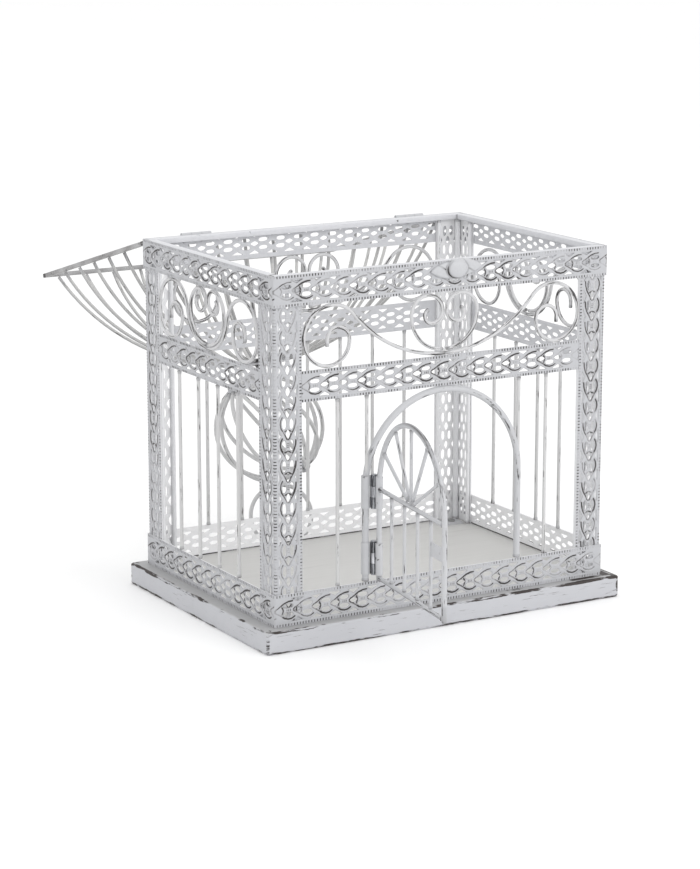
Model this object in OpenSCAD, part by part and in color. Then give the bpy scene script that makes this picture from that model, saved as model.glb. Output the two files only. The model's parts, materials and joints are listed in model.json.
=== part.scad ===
// Bird-cage card box: a filigree wire cage on a painted board, with an arched door
// in the front wall and a domed wire lid hinged along the back rim.
// The door stands open, and the lid is folded back behind the cage.
// Millimetres. X runs along the front, Y to the back, Z up from the board's bottom face.

/* [Base board] */
// Width of the board along the front
base_w = 328; // [300:1:420]
// Depth of the board
base_d = 238; // [220:1:320]
// Thickness of the board
base_t = 18; // [12:1:25]

/* [Cage] */
// Width of the cage over its top band
cage_w = 305; // [250:1:366]
// Depth of the cage over its top band
cage_d = 220; // [190:1:270]
// Height of the cage above the board
cage_h = 272.5; // [240:0.5:327]
// Thickness of the pressed filigree strip
strip_t = 1.0; // [0.6:0.1:1.5]
// Height of the band round the top
top_band_h = 24; // [20:0.5:30]
// Height of the band round the middle
mid_band_h = 24; // [20:0.5:28]
// Height of the band round the foot
foot_band_h = 25.5; // [20:0.5:32]
// Height of the middle band's lower edge above the board
mid_band_up = 174; // [150:0.5:210]
// Length of one repeat of the filigree pattern
pitch = 16.5; // [14:0.1:20]
// Width of each face of the corner trim
trim_w = 24; // [20:0.5:30]
// Diameter of the rod inside each corner
post_d = 5; // [4:0.5:6]
// Diameter of the rods along the trims' free edges
edge_rod_d = 3.5; // [2.5:0.5:4.5]
// Width of the flat bar under the lid
rim_w = 7; // [6:0.5:9]
// Height of the flat bar under the lid
rim_h = 4.5; // [3:0.5:6]
// Diameter of the wall bars
bar_d = 3; // [2:0.5:4]
// Spacing of the bars in the front and back walls
bar_step = 32; // [26:1:40]
// Spacing of the bars in the side walls
side_bar_step = 33; // [26:1:40]
// Diameter of the scroll wire
scroll_d = 3; // [2:0.5:3.5]

/* [Door] */
// Width of the fixed arch, between the middles of its legs
arch_w = 141; // [116:1:170]
// Diameter of the arch rod
arch_d = 5.3; // [4:0.1:6.5]
// Diameter of the door's frame rod
door_d = 4.2; // [3:0.1:5]
// Diameter of the door's bars and rays
door_bar_d = 2.8; // [2:0.1:3.5]
// Gap between the closed door and the arch
door_gap = 0.9; // [0.6:0.1:2]
// Height of one door hinge
door_hinge_h = 25.5; // [20:0.5:32]
// Outer diameter of the door hinge's knuckles
door_knuckle_d = 6; // [5:0.2:7]
// Diameter of the door hinge's pin
door_pin_d = 2.5; // [1.6:0.1:3]
// Height of the lower hinge's middle above the foot band
lower_hinge_up = 18.5; // [16:0.5:24]
// Height of the upper hinge's middle above the foot band
upper_hinge_up = 71.5; // [60:0.5:80]
// How far the door stands open
door_open = 98; // [0:1:150]

/* [Lid] */
// Width of the lid frame
lid_bar_w = 4.5; // [3.5:0.1:6]
// Height of the lid frame's bars
lid_bar_h = 3.6; // [2.5:0.1:4]
// How far the lid frame laps over the rim bar
lid_lap = 3.4; // [2:0.1:5]
// Height of the dome above the lid frame
dome_h = 102; // [80:1:125]
// Diameter of the dome's ribs
rib_d = 2.8; // [2:0.1:3.5]
// Spacing of the ribs along the long sides
long_rib_step = 26.8; // [25:0.1:40]
// Spacing of the ribs along the short sides
short_rib_step = 31; // [25:0.1:40]
// Diameter of the disc that gathers the ribs
apex_d = 54; // [44:1:66]
// Diameter of the wire orb over its wires
orb_d = 97; // [80:1:98]
// Diameter of the orb and ring wire
orb_wire_d = 3.6; // [3:0.1:4]
// Tilt of the orb's own axis towards the right
orb_tilt = 38; // [0:1:60]
// Height of the neck under the orb
neck_h = 7.5; // [5:0.5:13]
// Outer diameter of the ring on top of the orb
ring_d = 57; // [40:1:58]
// Turn of the ring about the lid's middle line
ring_turn = 20; // [0:1:45]
// Length of one lid hinge
lid_hinge_l = 27; // [20:1:40]
// Distance of each lid hinge from the middle of the back
lid_hinge_x = 102.5; // [60:0.5:115]
// Outer diameter of the lid hinge's knuckles
lid_knuckle_d = 4; // [3.6:0.2:5]
// Diameter of the lid hinge's pin
lid_pin_d = 1.8; // [1.2:0.1:2.2]
// How far the lid is opened from its closed place
lid_open = 195.5; // [0:0.5:195.5]

/* [Rosette] */
// Sideways place of the rosette on the front of the top band
rosette_x = 9; // [-20:1:20]
// Width of the rosette with its leaves
rosette_w = 46; // [30:1:56]

/* [Hidden] */
$fn = 48;
weld_gap = 0.2;
press_gap = 0.1;
pin_gap = 0.05;
free_gap = 0.35;
leaf_t = 0.8;
butt_gap = 0.2;
collar_l = 2.4;
collar_t = 0.2;
proud = 1.2;
paint = [0.86, 0.87, 0.89];
shade = [0.74, 0.75, 0.77];
steel = [0.62, 0.62, 0.63];
board_paint = [0.88, 0.87, 0.84];

top_z = base_t + cage_h;
foot_z = base_t + weld_gap;
foot_top = foot_z + foot_band_h;
mid_z = base_t + mid_band_up;
mid_top = mid_z + mid_band_h;
band_z = top_z - top_band_h;
rim_z = top_z - rim_h;
rim_in = strip_t + weld_gap;
trim_edge = proud + trim_w;
trim_in = proud + strip_t;
wire_y = proud + strip_t / 2;
wall_sides = ["front", "back", "left", "right"];
corners = ["front_left", "front_right", "back_left", "back_right"];

arch_r = arch_w / 2;
arch_y = arch_d / 2;
arch_top = mid_z - weld_gap - arch_d / 2;
arch_spring = arch_top - arch_r;
arch_world_y = -cage_d / 2 + arch_y;
sleeve_t = leaf_t;
arch_sleeve_r = arch_d / 2 + sleeve_t;
door_sleeve_r = door_d / 2 + sleeve_t;
barrel_out = 2;
arch_to_axis = sqrt(pow(arch_sleeve_r + door_knuckle_d / 2 + free_gap, 2) - barrel_out * barrel_out);
axis_to_leg = sqrt(pow(door_sleeve_r + door_knuckle_d / 2 + free_gap, 2) - barrel_out * barrel_out);
door_axis = [-arch_r + arch_to_axis, arch_world_y - barrel_out];
door_left = door_axis.x + axis_to_leg;
door_right = arch_r - arch_d / 2 - door_gap - door_d / 2;
door_r = (door_right - door_left) / 2;
door_mid = (door_right + door_left) / 2;
door_spring = arch_spring - door_gap / 2;
door_foot = foot_top + 0.8;
door_rail_z = door_foot + door_d / 2 + 0.4;

axis_drop = 0.5;
lid_axis = [cage_d / 2 + lid_knuckle_d / 2 + weld_gap, top_z - axis_drop];
lid_gap = 0.3;
lid_z = top_z + lid_gap;
lid_x = cage_w / 2 - rim_in - rim_w + lid_lap;
lid_y = cage_d / 2 - rim_in - rim_w + lid_lap;
rib_z = lid_z + lid_bar_h + weld_gap / 2;
long_rib_count = 2 * floor((lid_x - 2 * lid_bar_w) / long_rib_step) + 1;
short_rib_count = 2 * floor(lid_y / short_rib_step - 1) + 1;
apex_t = 4.5;
apex_z = rib_z + dome_h;
orb_r = (orb_d - orb_wire_d) / 2;
orb_z = apex_z + neck_h + weld_gap + orb_d / 2;
orb_hoops = 5;
bead_d = 12;
ring_r = (ring_d - orb_wire_d) / 2;
ring_z = orb_z + orb_d / 2 + weld_gap + ring_d / 2;
screw_d = 3.2;
screw_head_d = 6.4;
screw_head_h = 2;
screw_l = 11;
lug_t = 1.5;
lug_w = 15;
lug_in = trim_in + post_d + weld_gap + lug_w / 2;

// Turn of a wall about the middle of the cage, and its length over the corners
function wall_turn(side) = side == "front" ? 0 : side == "back" ? 180 : side == "left" ? -90 : 90;
function wall_is_long(side) = side == "front" || side == "back";
function wall_len(side) = wall_is_long(side) ? cage_w : cage_d;
function wall_out(side) = (wall_is_long(side) ? cage_d : cage_w) / 2;
function corner_sign(c) = [
    c == "front_left" || c == "back_left" ? -1 : 1,
    c == "front_left" || c == "front_right" ? -1 : 1
];

// Places what is drawn for a wall: X along it, Y inwards from its outer face, Z up
module on_wall(side) {
    rotate([0, 0, wall_turn(side)]) translate([0, -wall_out(side), 0]) children();
}

// Places what is drawn for a corner: X and Y run inwards from its two outer faces
module on_corner(c) {
    s = corner_sign(c);
    translate([s.x * cage_w / 2, s.y * cage_d / 2, 0])
        mirror([s.x > 0 ? 1 : 0, 0, 0]) mirror([0, s.y > 0 ? 1 : 0, 0]) children();
}

// Swings the closed door to where it stands
module door_pose() {
    translate([door_axis.x, door_axis.y, 0]) rotate([0, 0, -door_open])
        translate([-door_axis.x, -door_axis.y, 0]) children();
}

// Folds the closed lid back to where it rests
module lid_pose() {
    translate([0, lid_axis.x, lid_axis.y]) rotate([-lid_open, 0, 0])
        translate([0, -lid_axis.x, -lid_axis.y]) children();
}

// Part of a hoop of round wire, standing in the XZ plane, from one angle through a sweep
module arc_wire(centre, r, from, sweep, d) {
    translate([centre.x, 0, centre.y]) rotate([90, 0, 0]) rotate([0, 0, from])
        rotate_extrude(angle = sweep) translate([r, 0]) circle(d = d);
}

// The same arc, cut back a little at both ends to meet its neighbours inside collars
module bend(centre, r, from, sweep, d) {
    cut = asin(butt_gap / r);
    arc_wire(centre, r, from + cut, sweep - 2 * cut, d);
}

// Short sleeve that joins two bends where they meet, at an angle of the arc they share
module collar(centre, r, at, d) {
    translate([centre.x + r * cos(at), 0, centre.y + r * sin(at)]) rotate([0, -at, 0])
        translate([0, 0, -collar_l / 2]) cylinder(h = collar_l, d = d + 2 * collar_t);
}

// Upright rod between two heights
module rod(x, y, low, high, d) {
    translate([x, y, low]) cylinder(h = high - low, d = d);
}

// Inverted U of rod: two legs and a half circle
module arch_rod(mid, y, r, foot, spring, d) {
    translate([0, y, 0]) {
        arc_wire([mid, spring], r, 0, 180, d);
        rod(mid - r, 0, foot, spring, d);
        rod(mid + r, 0, foot, spring, d);
    }
}

// Pointed oval hole with the given length and height
module lens(l, h) {
    r = (l * l / 4 + h * h / 4) / h;
    intersection() {
        translate([0, r - h / 2]) circle(r = r);
        translate([0, h / 2 - r]) circle(r = r);
    }
}

// Flat pattern of a filigree strip: pairs of ovals with a small hole between the pairs
module filigree(l, h) {
    count = floor((l - 4) / pitch);
    field = h - 7;
    difference() {
        translate([-l / 2, 0]) square([l, h]);
        for (i = [0 : count - 1]) translate([(i - (count - 1) / 2) * pitch, h / 2]) {
            for (s = [-1, 1]) translate([0, s * field * 0.2]) lens(pitch * 0.56, field * 0.27);
            if (i < count - 1) translate([pitch / 2, 0]) lens(pitch * 0.45, field * 0.27);
        }
    }
}

// Upright filigree strip on a wall, with its outer face a given way in
module wall_strip(l, h, z, in) {
    translate([0, in + strip_t, z]) rotate([90, 0, 0]) linear_extrude(strip_t) filigree(l, h);
}

module base_board() {
    color(board_paint) difference() {
        translate([-base_w / 2, -base_d / 2, 0]) cube([base_w, base_d, base_t]);
        for (c = corners) on_corner(c) translate([lug_in, lug_in, base_t - screw_l])
            cylinder(h = screw_l + 1, d = screw_d + 2 * pin_gap);
    }
}

module corner_lugs() {
    color(shade) for (c = corners) on_corner(c) difference() {
        translate([lug_in - lug_w / 2, lug_in - lug_w / 2, base_t]) cube([lug_w, lug_w, lug_t]);
        translate([lug_in, lug_in, base_t - 1]) cylinder(h = lug_t + 2, d = screw_d + 2 * pin_gap);
    }
}

module base_screws() {
    color(steel) for (c = corners) on_corner(c) translate([lug_in, lug_in, base_t]) {
        translate([0, 0, lug_t]) cylinder(h = screw_head_h, d = screw_head_d);
        translate([0, 0, lug_t - screw_l + 1]) cylinder(h = screw_l - 1, d = screw_d);
    }
}

module post_rods(c) {
    corner_at = trim_in + weld_gap + post_d / 2;
    edge_in = trim_in + weld_gap + edge_rod_d / 2;
    edge_at = trim_edge - edge_rod_d / 2;
    high = rim_z - weld_gap;
    color(paint) on_corner(c) {
        rod(corner_at, corner_at, foot_z, high, post_d);
        rod(edge_at, edge_in, foot_z, high, edge_rod_d);
        rod(edge_in, edge_at, foot_z, high, edge_rod_d);
    }
}

module corner_trim(c) {
    h = rim_z - weld_gap - foot_z;
    color(paint) on_corner(c) translate([proud, proud, foot_z]) {
        rotate([90, 0, 0]) translate([0, 0, -strip_t]) linear_extrude(strip_t)
            translate([trim_w / 2, h / 2]) rotate(90) translate([0, -trim_w / 2]) filigree(h, trim_w);
        rotate([90, 0, 90]) linear_extrude(strip_t)
            translate([trim_w / 2, h / 2]) rotate(90) translate([0, -trim_w / 2]) filigree(h, trim_w);
    }
}

module rim_bar(side) {
    l = wall_is_long(side) ? cage_w - 2 * rim_in : cage_d - 2 * (rim_in + rim_w + press_gap);
    color(paint) on_wall(side) translate([-l / 2, rim_in, rim_z]) cube([l, rim_w, rim_h]);
}

module round_band(side, h, z) {
    l = wall_is_long(side) ? cage_w : cage_d - 2 * (strip_t + press_gap);
    color(paint) on_wall(side) wall_strip(l, h, z, 0);
}

module top_band(side) {
    round_band(side, top_band_h, band_z);
}

module mid_band(side) {
    l = wall_len(side) - 2 * (trim_edge + weld_gap);
    color(paint) on_wall(side) wall_strip(l, mid_band_h, mid_z, proud);
}

module foot_band(side) {
    round_band(side, foot_band_h, foot_z);
}

// Height of the spiral beside the corner: the window's, or less where the wall is short for it
function coil_h(left, high) = min(high, -0.7 * left);
function sweep_run(left, high) = -weld_gap - left - 0.54 * coil_h(left, high);
function sweep_turn(left, high) = 2 * atan(high / sweep_run(left, high));
function sweep_r(left, high) =
    sweep_run(left, high) / sin(sweep_turn(left, high)) - 0.52 * coil_h(left, high);

// Long S: a spiral under the top band, with a tail that sweeps down to the middle
module s_scroll(left, low, high) {
    coil = coil_h(left, high);
    foot = low + high - coil;
    r_top = 0.54 * coil;
    r_left = 0.46 * coil;
    r_low = 0.40 * coil;
    r_right = 0.22 * coil;
    r_end = 0.20 * coil;
    end_l = 0.10 * coil;
    r_tail = 0.52 * coil;
    turn = sweep_turn(left, high);
    r_sweep = sweep_r(left, high);
    coil_x = left + r_left + r_low - r_right;
    coil_z = foot + r_low + r_right - r_end;
    tail_mid = [-weld_gap, low + r_sweep];
    top_mid = [left + r_top, foot + r_left];
    left_mid = [left + r_left, foot + r_left];
    low_mid = [left + r_left, foot + r_low];
    right_mid = [coil_x, foot + r_low];
    end_mid = [coil_x, coil_z];
    bend(tail_mid, r_sweep, 270 - turn, turn, scroll_d);
    collar(tail_mid, r_sweep, 270 - turn, scroll_d);
    bend([left + r_top, low + high - r_tail], r_tail, 90 - turn, turn, scroll_d);
    collar(top_mid, r_top, 90, scroll_d);
    bend(top_mid, r_top, 90, 90, scroll_d);
    collar(top_mid, r_top, 180, scroll_d);
    bend(left_mid, r_left, 180, 90, scroll_d);
    collar(left_mid, r_left, 270, scroll_d);
    bend(low_mid, r_low, 270, 90, scroll_d);
    collar(low_mid, r_low, 0, scroll_d);
    bend(right_mid, r_right, 0, 90, scroll_d);
    collar(right_mid, r_right, 90, scroll_d);
    bend(end_mid, r_end, 90, 90, scroll_d);
    collar(end_mid, r_end, 180, scroll_d);
    rod(coil_x - r_end, 0, coil_z - end_l, coil_z - butt_gap, scroll_d);
}

// Volute beside the middle, curling in from its foot on the tails
module volute(low, high, wide) {
    x = -scroll_d / 2 - weld_gap - collar_t;
    r_foot = wide * high;
    r_top = high - r_foot;
    r_mid = r_foot - r_top;
    r_low = 0.22 * high;
    r_left = 0.15 * high;
    r_end = 0.11 * high;
    mid = low + high - r_mid;
    foot_mid = [x, low + r_foot];
    top_mid = [x - r_mid, low + r_foot];
    mid_mid = [x - r_mid, mid];
    low_mid = [x - r_low, mid];
    left_mid = [x - r_low, mid - r_low + r_left];
    bend(foot_mid, r_foot, 180, 90, scroll_d);
    collar(foot_mid, r_foot, 180, scroll_d);
    bend(top_mid, r_top, 90, 90, scroll_d);
    collar(top_mid, r_top, 90, scroll_d);
    bend(mid_mid, r_mid, 0, 90, scroll_d);
    collar(mid_mid, r_mid, 0, scroll_d);
    bend(low_mid, r_low, 270, 90, scroll_d);
    collar(low_mid, r_low, 270, scroll_d);
    bend(left_mid, r_left, 180, 90, scroll_d);
    collar(left_mid, r_left, 180, scroll_d);
    bend([x - r_low - r_left + r_end, left_mid.y], r_end, 110, 70, scroll_d);
}

module scrolls(side) {
    room = weld_gap + scroll_d / 2 + collar_t;
    low = mid_top + room;
    high = band_z - room - low;
    left = -wall_len(side) / 2 + trim_edge + room;
    volute_up = scroll_d + weld_gap + collar_t;
    wide = wall_is_long(side) ? 0.65 : 0.6;
    // The volute's foot is an arc inside the tail's arc, smaller by what keeps the two wires apart
    volute_out = scroll_d / 2 + collar_t;
    nearest = scroll_d + butt_gap / 2;
    smaller = (pow(volute_out, 2) + pow(volute_up, 2) - pow(nearest, 2)) / (2 * (volute_up - nearest));
    volute_h = min(high - volute_up, (sweep_r(left, high) - smaller) / wide);
    color(paint) on_wall(side) translate([0, wire_y, 0]) for (m = [0, 1]) mirror([m, 0, 0]) {
        s_scroll(left, low, high);
        volute(low + volute_up, volute_h, wide);
    }
}

// Bars that stand on the foot band; in the front wall the door takes the middle ones' place
module wall_bars(side) {
    low = foot_top + weld_gap;
    high = mid_z - weld_gap;
    step = wall_is_long(side) ? bar_step : side_bar_step;
    half = wall_len(side) / 2 - trim_edge - bar_d;
    count = wall_is_long(side) ? 2 * floor(half / step) + 1 : 2 * floor((half - step / 2) / step) + 2;
    color(paint) on_wall(side) for (i = [0 : count - 1]) {
        x = (i - (count - 1) / 2) * step;
        if (side != "front" || abs(x) > arch_r + arch_d) rod(x, wire_y, low, high, bar_d);
    }
    if (side == "front") color(paint) on_wall(side) difference() {
        for (s = [-1, 1]) rod(s * (arch_r - 0.5), wire_y, arch_spring + 1, high, bar_d);
        arch_rod(0, arch_y, arch_r, low, arch_spring, arch_d + 2 * weld_gap);
        translate([-arch_r, 0, low]) cube([2 * arch_r, arch_d, arch_spring - low + 20]);
    }
}

module door_arch() {
    color(paint) on_wall("front") arch_rod(0, arch_y, arch_r, foot_top + weld_gap, arch_spring, arch_d);
}

// Flower with two leaves, lying on the front of the top band
module rosette() {
    petals = 6;
    petal_d = 6.4;
    heart_d = 12;
    heart_up = 3.2;
    leaf_h = 9;
    lift = 2.4;
    color(paint) on_wall("front") translate([rosette_x, -weld_gap, top_z - top_band_h * 0.28])
        rotate([90, 0, 0]) {
            linear_extrude(lift) {
                for (i = [0 : petals - 1]) rotate(i * 360 / petals) translate([petal_d * 0.82, 0])
                    circle(d = petal_d);
                circle(d = petal_d * 1.3);
                for (s = [-1, 1]) translate([s * rosette_w / 4, 0]) lens(rosette_w / 2, leaf_h);
            }
            cylinder(h = lift + heart_up, d = heart_d);
        }
}

module door_rod_path(d) {
    arch_rod(door_mid, arch_world_y, door_r, door_foot, door_spring, d);
}

module door_frame() {
    color(paint) door_pose() door_rod_path(door_d);
}

module cross_bar(z, d, more = 0) {
    reach = door_r - door_d / 2 - press_gap + more;
    translate([door_mid - reach, arch_world_y, z]) rotate([0, 90, 0]) cylinder(h = 2 * reach, d = d);
}

module door_rails() {
    color(paint) door_pose() {
        cross_bar(door_rail_z, door_d - 0.6);
        cross_bar(door_spring, door_d - 0.6);
    }
}

module door_bars() {
    rail_r = (door_d - 0.6) / 2 + press_gap;
    low = door_rail_z + rail_r;
    high = door_spring - rail_r;
    color(paint) door_pose() for (i = [1 : 4])
        rod(door_left + i * 2 * door_r / 5, arch_world_y, low, high, door_bar_d);
}

module door_rays() {
    rail_r = (door_d - 0.6) / 2 + press_gap;
    reach = door_r - door_d / 2 - press_gap;
    steps = [-60, -30, 0, 30, 60];
    color(paint) door_pose() translate([door_mid, arch_world_y, door_spring]) for (a = steps) {
        from = a == 0 ? rail_r : abs(a) == 30 ? door_bar_d * 2.2 : (rail_r + door_bar_d / 2) / cos(60) + 0.3;
        rotate([0, a, 0]) translate([0, 0, from]) cylinder(h = reach - from, d = door_bar_d);
    }
}

// Small plate between the last bar and the free leg
module door_catch_plate() {
    h = 11;
    low = foot_top + 46;
    left = door_left + 8 * door_r / 5 + door_bar_d / 2 + press_gap;
    right = door_right - door_d / 2 - press_gap;
    color(paint) door_pose() translate([left, arch_world_y - leaf_t / 2, low])
        cube([right - left, leaf_t, h]);
}

door_hinge_mids = [foot_top + lower_hinge_up, foot_top + upper_hinge_up];
door_knuckle_h = door_hinge_h / 3;
knuckle_slack = 0.3;

// Web from the wall of a hinge barrel to the wall of the sleeve beside it, round a rod
module hinge_web(from, to, low, high, rod_d) {
    inset = 0.2;
    start = door_pin_d / 2 + 0.6;
    stop = norm(to - from) - rod_d / 2 - press_gap - 0.3;
    translate([from.x, from.y, low + inset]) rotate([0, 0, atan2(to.y - from.y, to.x - from.x)])
        translate([start, -leaf_t, 0]) cube([stop - start, 2 * leaf_t, high - low - 2 * inset]);
}

module door_hinge_fixed_leaves() {
    leg = [-arch_r, arch_world_y];
    color(steel) for (z = door_hinge_mids) difference() {
        union() {
            rod(leg.x, leg.y, z - door_hinge_h / 2, z + door_hinge_h / 2, 2 * arch_sleeve_r);
            for (s = [-1, 1]) {
                low = z + s * door_knuckle_h - door_knuckle_h / 2 + (s > 0 ? knuckle_slack : 0);
                high = z + s * door_knuckle_h + door_knuckle_h / 2 - (s < 0 ? knuckle_slack : 0);
                rod(door_axis.x, door_axis.y, low, high, door_knuckle_d);
                hinge_web(door_axis, leg, low, high, arch_d);
            }
        }
        on_wall("front") arch_rod(0, arch_y, arch_r, foot_top, arch_spring, arch_d + 2 * press_gap);
        rod(door_axis.x, door_axis.y, foot_top - 1, mid_z, door_pin_d + 2 * pin_gap);
    }
}

module door_hinge_moving_leaves() {
    leg = [door_left, arch_world_y];
    color(steel) door_pose() for (z = door_hinge_mids) difference() {
        union() {
            rod(leg.x, leg.y, z - door_hinge_h / 2, z + door_hinge_h / 2, 2 * door_sleeve_r);
            rod(door_axis.x, door_axis.y, z - door_knuckle_h / 2, z + door_knuckle_h / 2, door_knuckle_d);
            hinge_web(door_axis, leg, z - door_knuckle_h / 2, z + door_knuckle_h / 2, door_d);
        }
        door_rod_path(door_d + 2 * press_gap);
        cross_bar(door_spring, door_d - 0.6 + 2 * press_gap, 1);
        rod(door_axis.x, door_axis.y, foot_top - 1, mid_z, door_pin_d + 2 * pin_gap);
    }
}

module door_hinge_pins() {
    head_h = 0.8;
    color(steel) for (z = door_hinge_mids) {
        low = z - door_hinge_h / 2;
        high = z + door_hinge_h / 2;
        rod(door_axis.x, door_axis.y, low - press_gap, high + press_gap, door_pin_d);
        rod(door_axis.x, door_axis.y, high + press_gap, high + press_gap + head_h, door_knuckle_d * 0.8);
        rod(door_axis.x, door_axis.y, low - press_gap - head_h, low - press_gap, door_knuckle_d * 0.8);
    }
}

module lid_frame() {
    color(paint) lid_pose() for (s = [-1, 1]) {
        translate([-lid_x, s * (lid_y - lid_bar_w / 2) - lid_bar_w / 2, lid_z])
            cube([2 * lid_x, lid_bar_w, lid_bar_h]);
        side_y = lid_y - lid_bar_w - press_gap;
        translate([s * (lid_x - lid_bar_w / 2) - lid_bar_w / 2, -side_y, lid_z])
            cube([lid_bar_w, 2 * side_y, lid_bar_h]);
    }
}

// Rib from the lid frame to the apex disc: one arc, level at its top, whose lower end stands on the frame
module rib(x, y) {
    reach = norm([x, y]);
    r = (reach * reach + dome_h * dome_h) / (2 * dome_h);
    start = asin((r - dome_h) / (r - rib_d / 2));
    stop = acos((apex_d / 2 + weld_gap) / (r - rib_d / 2));
    rotate([0, 0, atan2(y, x)]) translate([0, 0, rib_z])
        arc_wire([0, dome_h - r], r, start, stop - start, rib_d);
}

module lid_ribs(side) {
    count = wall_is_long(side) ? long_rib_count : short_rib_count;
    step = wall_is_long(side) ? long_rib_step : short_rib_step;
    out = (wall_is_long(side) ? lid_y : lid_x) - lid_bar_w / 2;
    color(paint) lid_pose() rotate([0, 0, wall_turn(side)]) for (i = [0 : count - 1])
        rib((i - (count - 1) / 2) * step, -out);
}

module lid_apex_disc() {
    color(paint) lid_pose() {
        translate([0, 0, apex_z - apex_t]) cylinder(h = apex_t, d = apex_d);
        translate([0, 0, apex_z]) cylinder(h = neck_h, d = 9);
    }
}

// Turns what is drawn about the orb's own axis into place on the lid
module on_orb() {
    translate([0, 0, orb_z]) rotate([0, orb_tilt, 0]) children();
}

module orb_wires() {
    clear = asin((bead_d / 2 + weld_gap) / orb_r);
    color(paint) lid_pose() on_orb() for (i = [0 : 2 * orb_hoops - 1]) rotate([0, 0, i * 180 / orb_hoops])
        arc_wire([0, 0], orb_r, clear - 90, 180 - 2 * clear, orb_wire_d);
}

module orb_beads() {
    color(paint) lid_pose() on_orb() for (s = [-1, 1]) translate([0, 0, s * orb_r]) sphere(d = bead_d);
}

module finial_ring() {
    color(paint) lid_pose() translate([0, 0, ring_z]) rotate([90, 0, ring_turn])
        rotate_extrude() translate([ring_r, 0]) circle(d = orb_wire_d);
}

lid_knuckle_l = lid_hinge_l / 3;

// Length of barrel along X about the lid's axis
module lid_barrel(from, to, d) {
    translate([from, lid_axis.x, lid_axis.y]) rotate([0, 90, 0]) cylinder(h = to - from, d = d);
}

module lid_hinge_fixed_leaves() {
    back = cage_d / 2 + press_gap;
    low = top_z - 8;
    clear = lid_axis.y - lid_knuckle_d / 2 - free_gap;
    color(steel) for (s = [-1, 1]) translate([s * lid_hinge_x, 0, 0]) difference() {
        union() {
            translate([-lid_hinge_l / 2, back, low]) cube([lid_hinge_l, leaf_t, clear - low]);
            for (e = [-1, 1]) {
                from = e * lid_knuckle_l - lid_knuckle_l / 2 + (e > 0 ? knuckle_slack : 0);
                to = e * lid_knuckle_l + lid_knuckle_l / 2 - (e < 0 ? knuckle_slack : 0);
                lid_barrel(from, to, lid_knuckle_d);
                translate([from, back, low]) cube([to - from, leaf_t, lid_axis.y - low]);
            }
        }
        lid_barrel(-lid_hinge_l, lid_hinge_l, lid_pin_d + 2 * pin_gap);
    }
}

module lid_hinge_moving_leaves() {
    half = lid_knuckle_l / 2;
    face = lid_y + press_gap;
    flange_h = lid_bar_h - 0.5;
    color(steel) lid_pose() for (s = [-1, 1]) translate([s * lid_hinge_x, 0, 0]) difference() {
        union() {
            lid_barrel(-half, half, lid_knuckle_d);
            translate([-half, face, lid_z]) cube([2 * half, leaf_t, flange_h]);
            translate([-half, face, lid_z]) cube([2 * half, lid_axis.x - face, leaf_t]);
        }
        lid_barrel(-lid_hinge_l, lid_hinge_l, lid_pin_d + 2 * pin_gap);
    }
}

module lid_hinge_pins() {
    color(steel) for (s = [-1, 1]) translate([s * lid_hinge_x, 0, 0])
        lid_barrel(-lid_hinge_l / 2, lid_hinge_l / 2, lid_pin_d);
}

base_board();
corner_lugs();
base_screws();
for (c = corners) {
    post_rods(c);
    corner_trim(c);
}
for (s = wall_sides) {
    rim_bar(s);
    top_band(s);
    mid_band(s);
    foot_band(s);
    scrolls(s);
    wall_bars(s);
    lid_ribs(s);
}
door_arch();
rosette();
door_frame();
door_rails();
door_bars();
door_rays();
door_catch_plate();
door_hinge_fixed_leaves();
door_hinge_moving_leaves();
door_hinge_pins();
lid_frame();
lid_apex_disc();
orb_wires();
orb_beads();
finial_ring();
lid_hinge_fixed_leaves();
lid_hinge_moving_leaves();
lid_hinge_pins();
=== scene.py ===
"""Looks of the wedding card box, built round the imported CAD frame.

Shapes are worked out in millimetres and turned into metres when a mesh is made. A wall is drawn as the
front wall: x along it, y from its outer plane into the cage, z up. The door and the lid are drawn closed.
"""
import json
import math

import bpy
import numpy as np
from mathutils import Matrix, Vector


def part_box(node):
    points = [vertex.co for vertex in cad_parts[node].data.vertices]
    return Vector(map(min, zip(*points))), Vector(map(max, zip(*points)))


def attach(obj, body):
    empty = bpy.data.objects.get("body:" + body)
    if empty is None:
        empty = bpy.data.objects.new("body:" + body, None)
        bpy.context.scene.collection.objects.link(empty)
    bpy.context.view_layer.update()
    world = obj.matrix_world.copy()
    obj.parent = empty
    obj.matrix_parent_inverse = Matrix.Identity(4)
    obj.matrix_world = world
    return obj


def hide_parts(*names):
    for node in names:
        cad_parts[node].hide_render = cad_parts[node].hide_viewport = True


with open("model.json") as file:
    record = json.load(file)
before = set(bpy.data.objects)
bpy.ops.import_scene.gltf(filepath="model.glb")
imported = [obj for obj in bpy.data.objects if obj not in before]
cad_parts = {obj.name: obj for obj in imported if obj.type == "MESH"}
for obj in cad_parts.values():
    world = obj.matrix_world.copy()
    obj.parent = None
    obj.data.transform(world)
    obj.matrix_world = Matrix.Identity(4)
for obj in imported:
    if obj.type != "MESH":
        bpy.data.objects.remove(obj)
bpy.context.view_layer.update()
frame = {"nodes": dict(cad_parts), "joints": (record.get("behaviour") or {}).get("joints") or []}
MM = 0.001


def span(node):
    """A CAD node's lowest and highest corner in millimetres."""
    low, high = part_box(node)
    return [v / MM for v in low], [v / MM for v in high]


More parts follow.
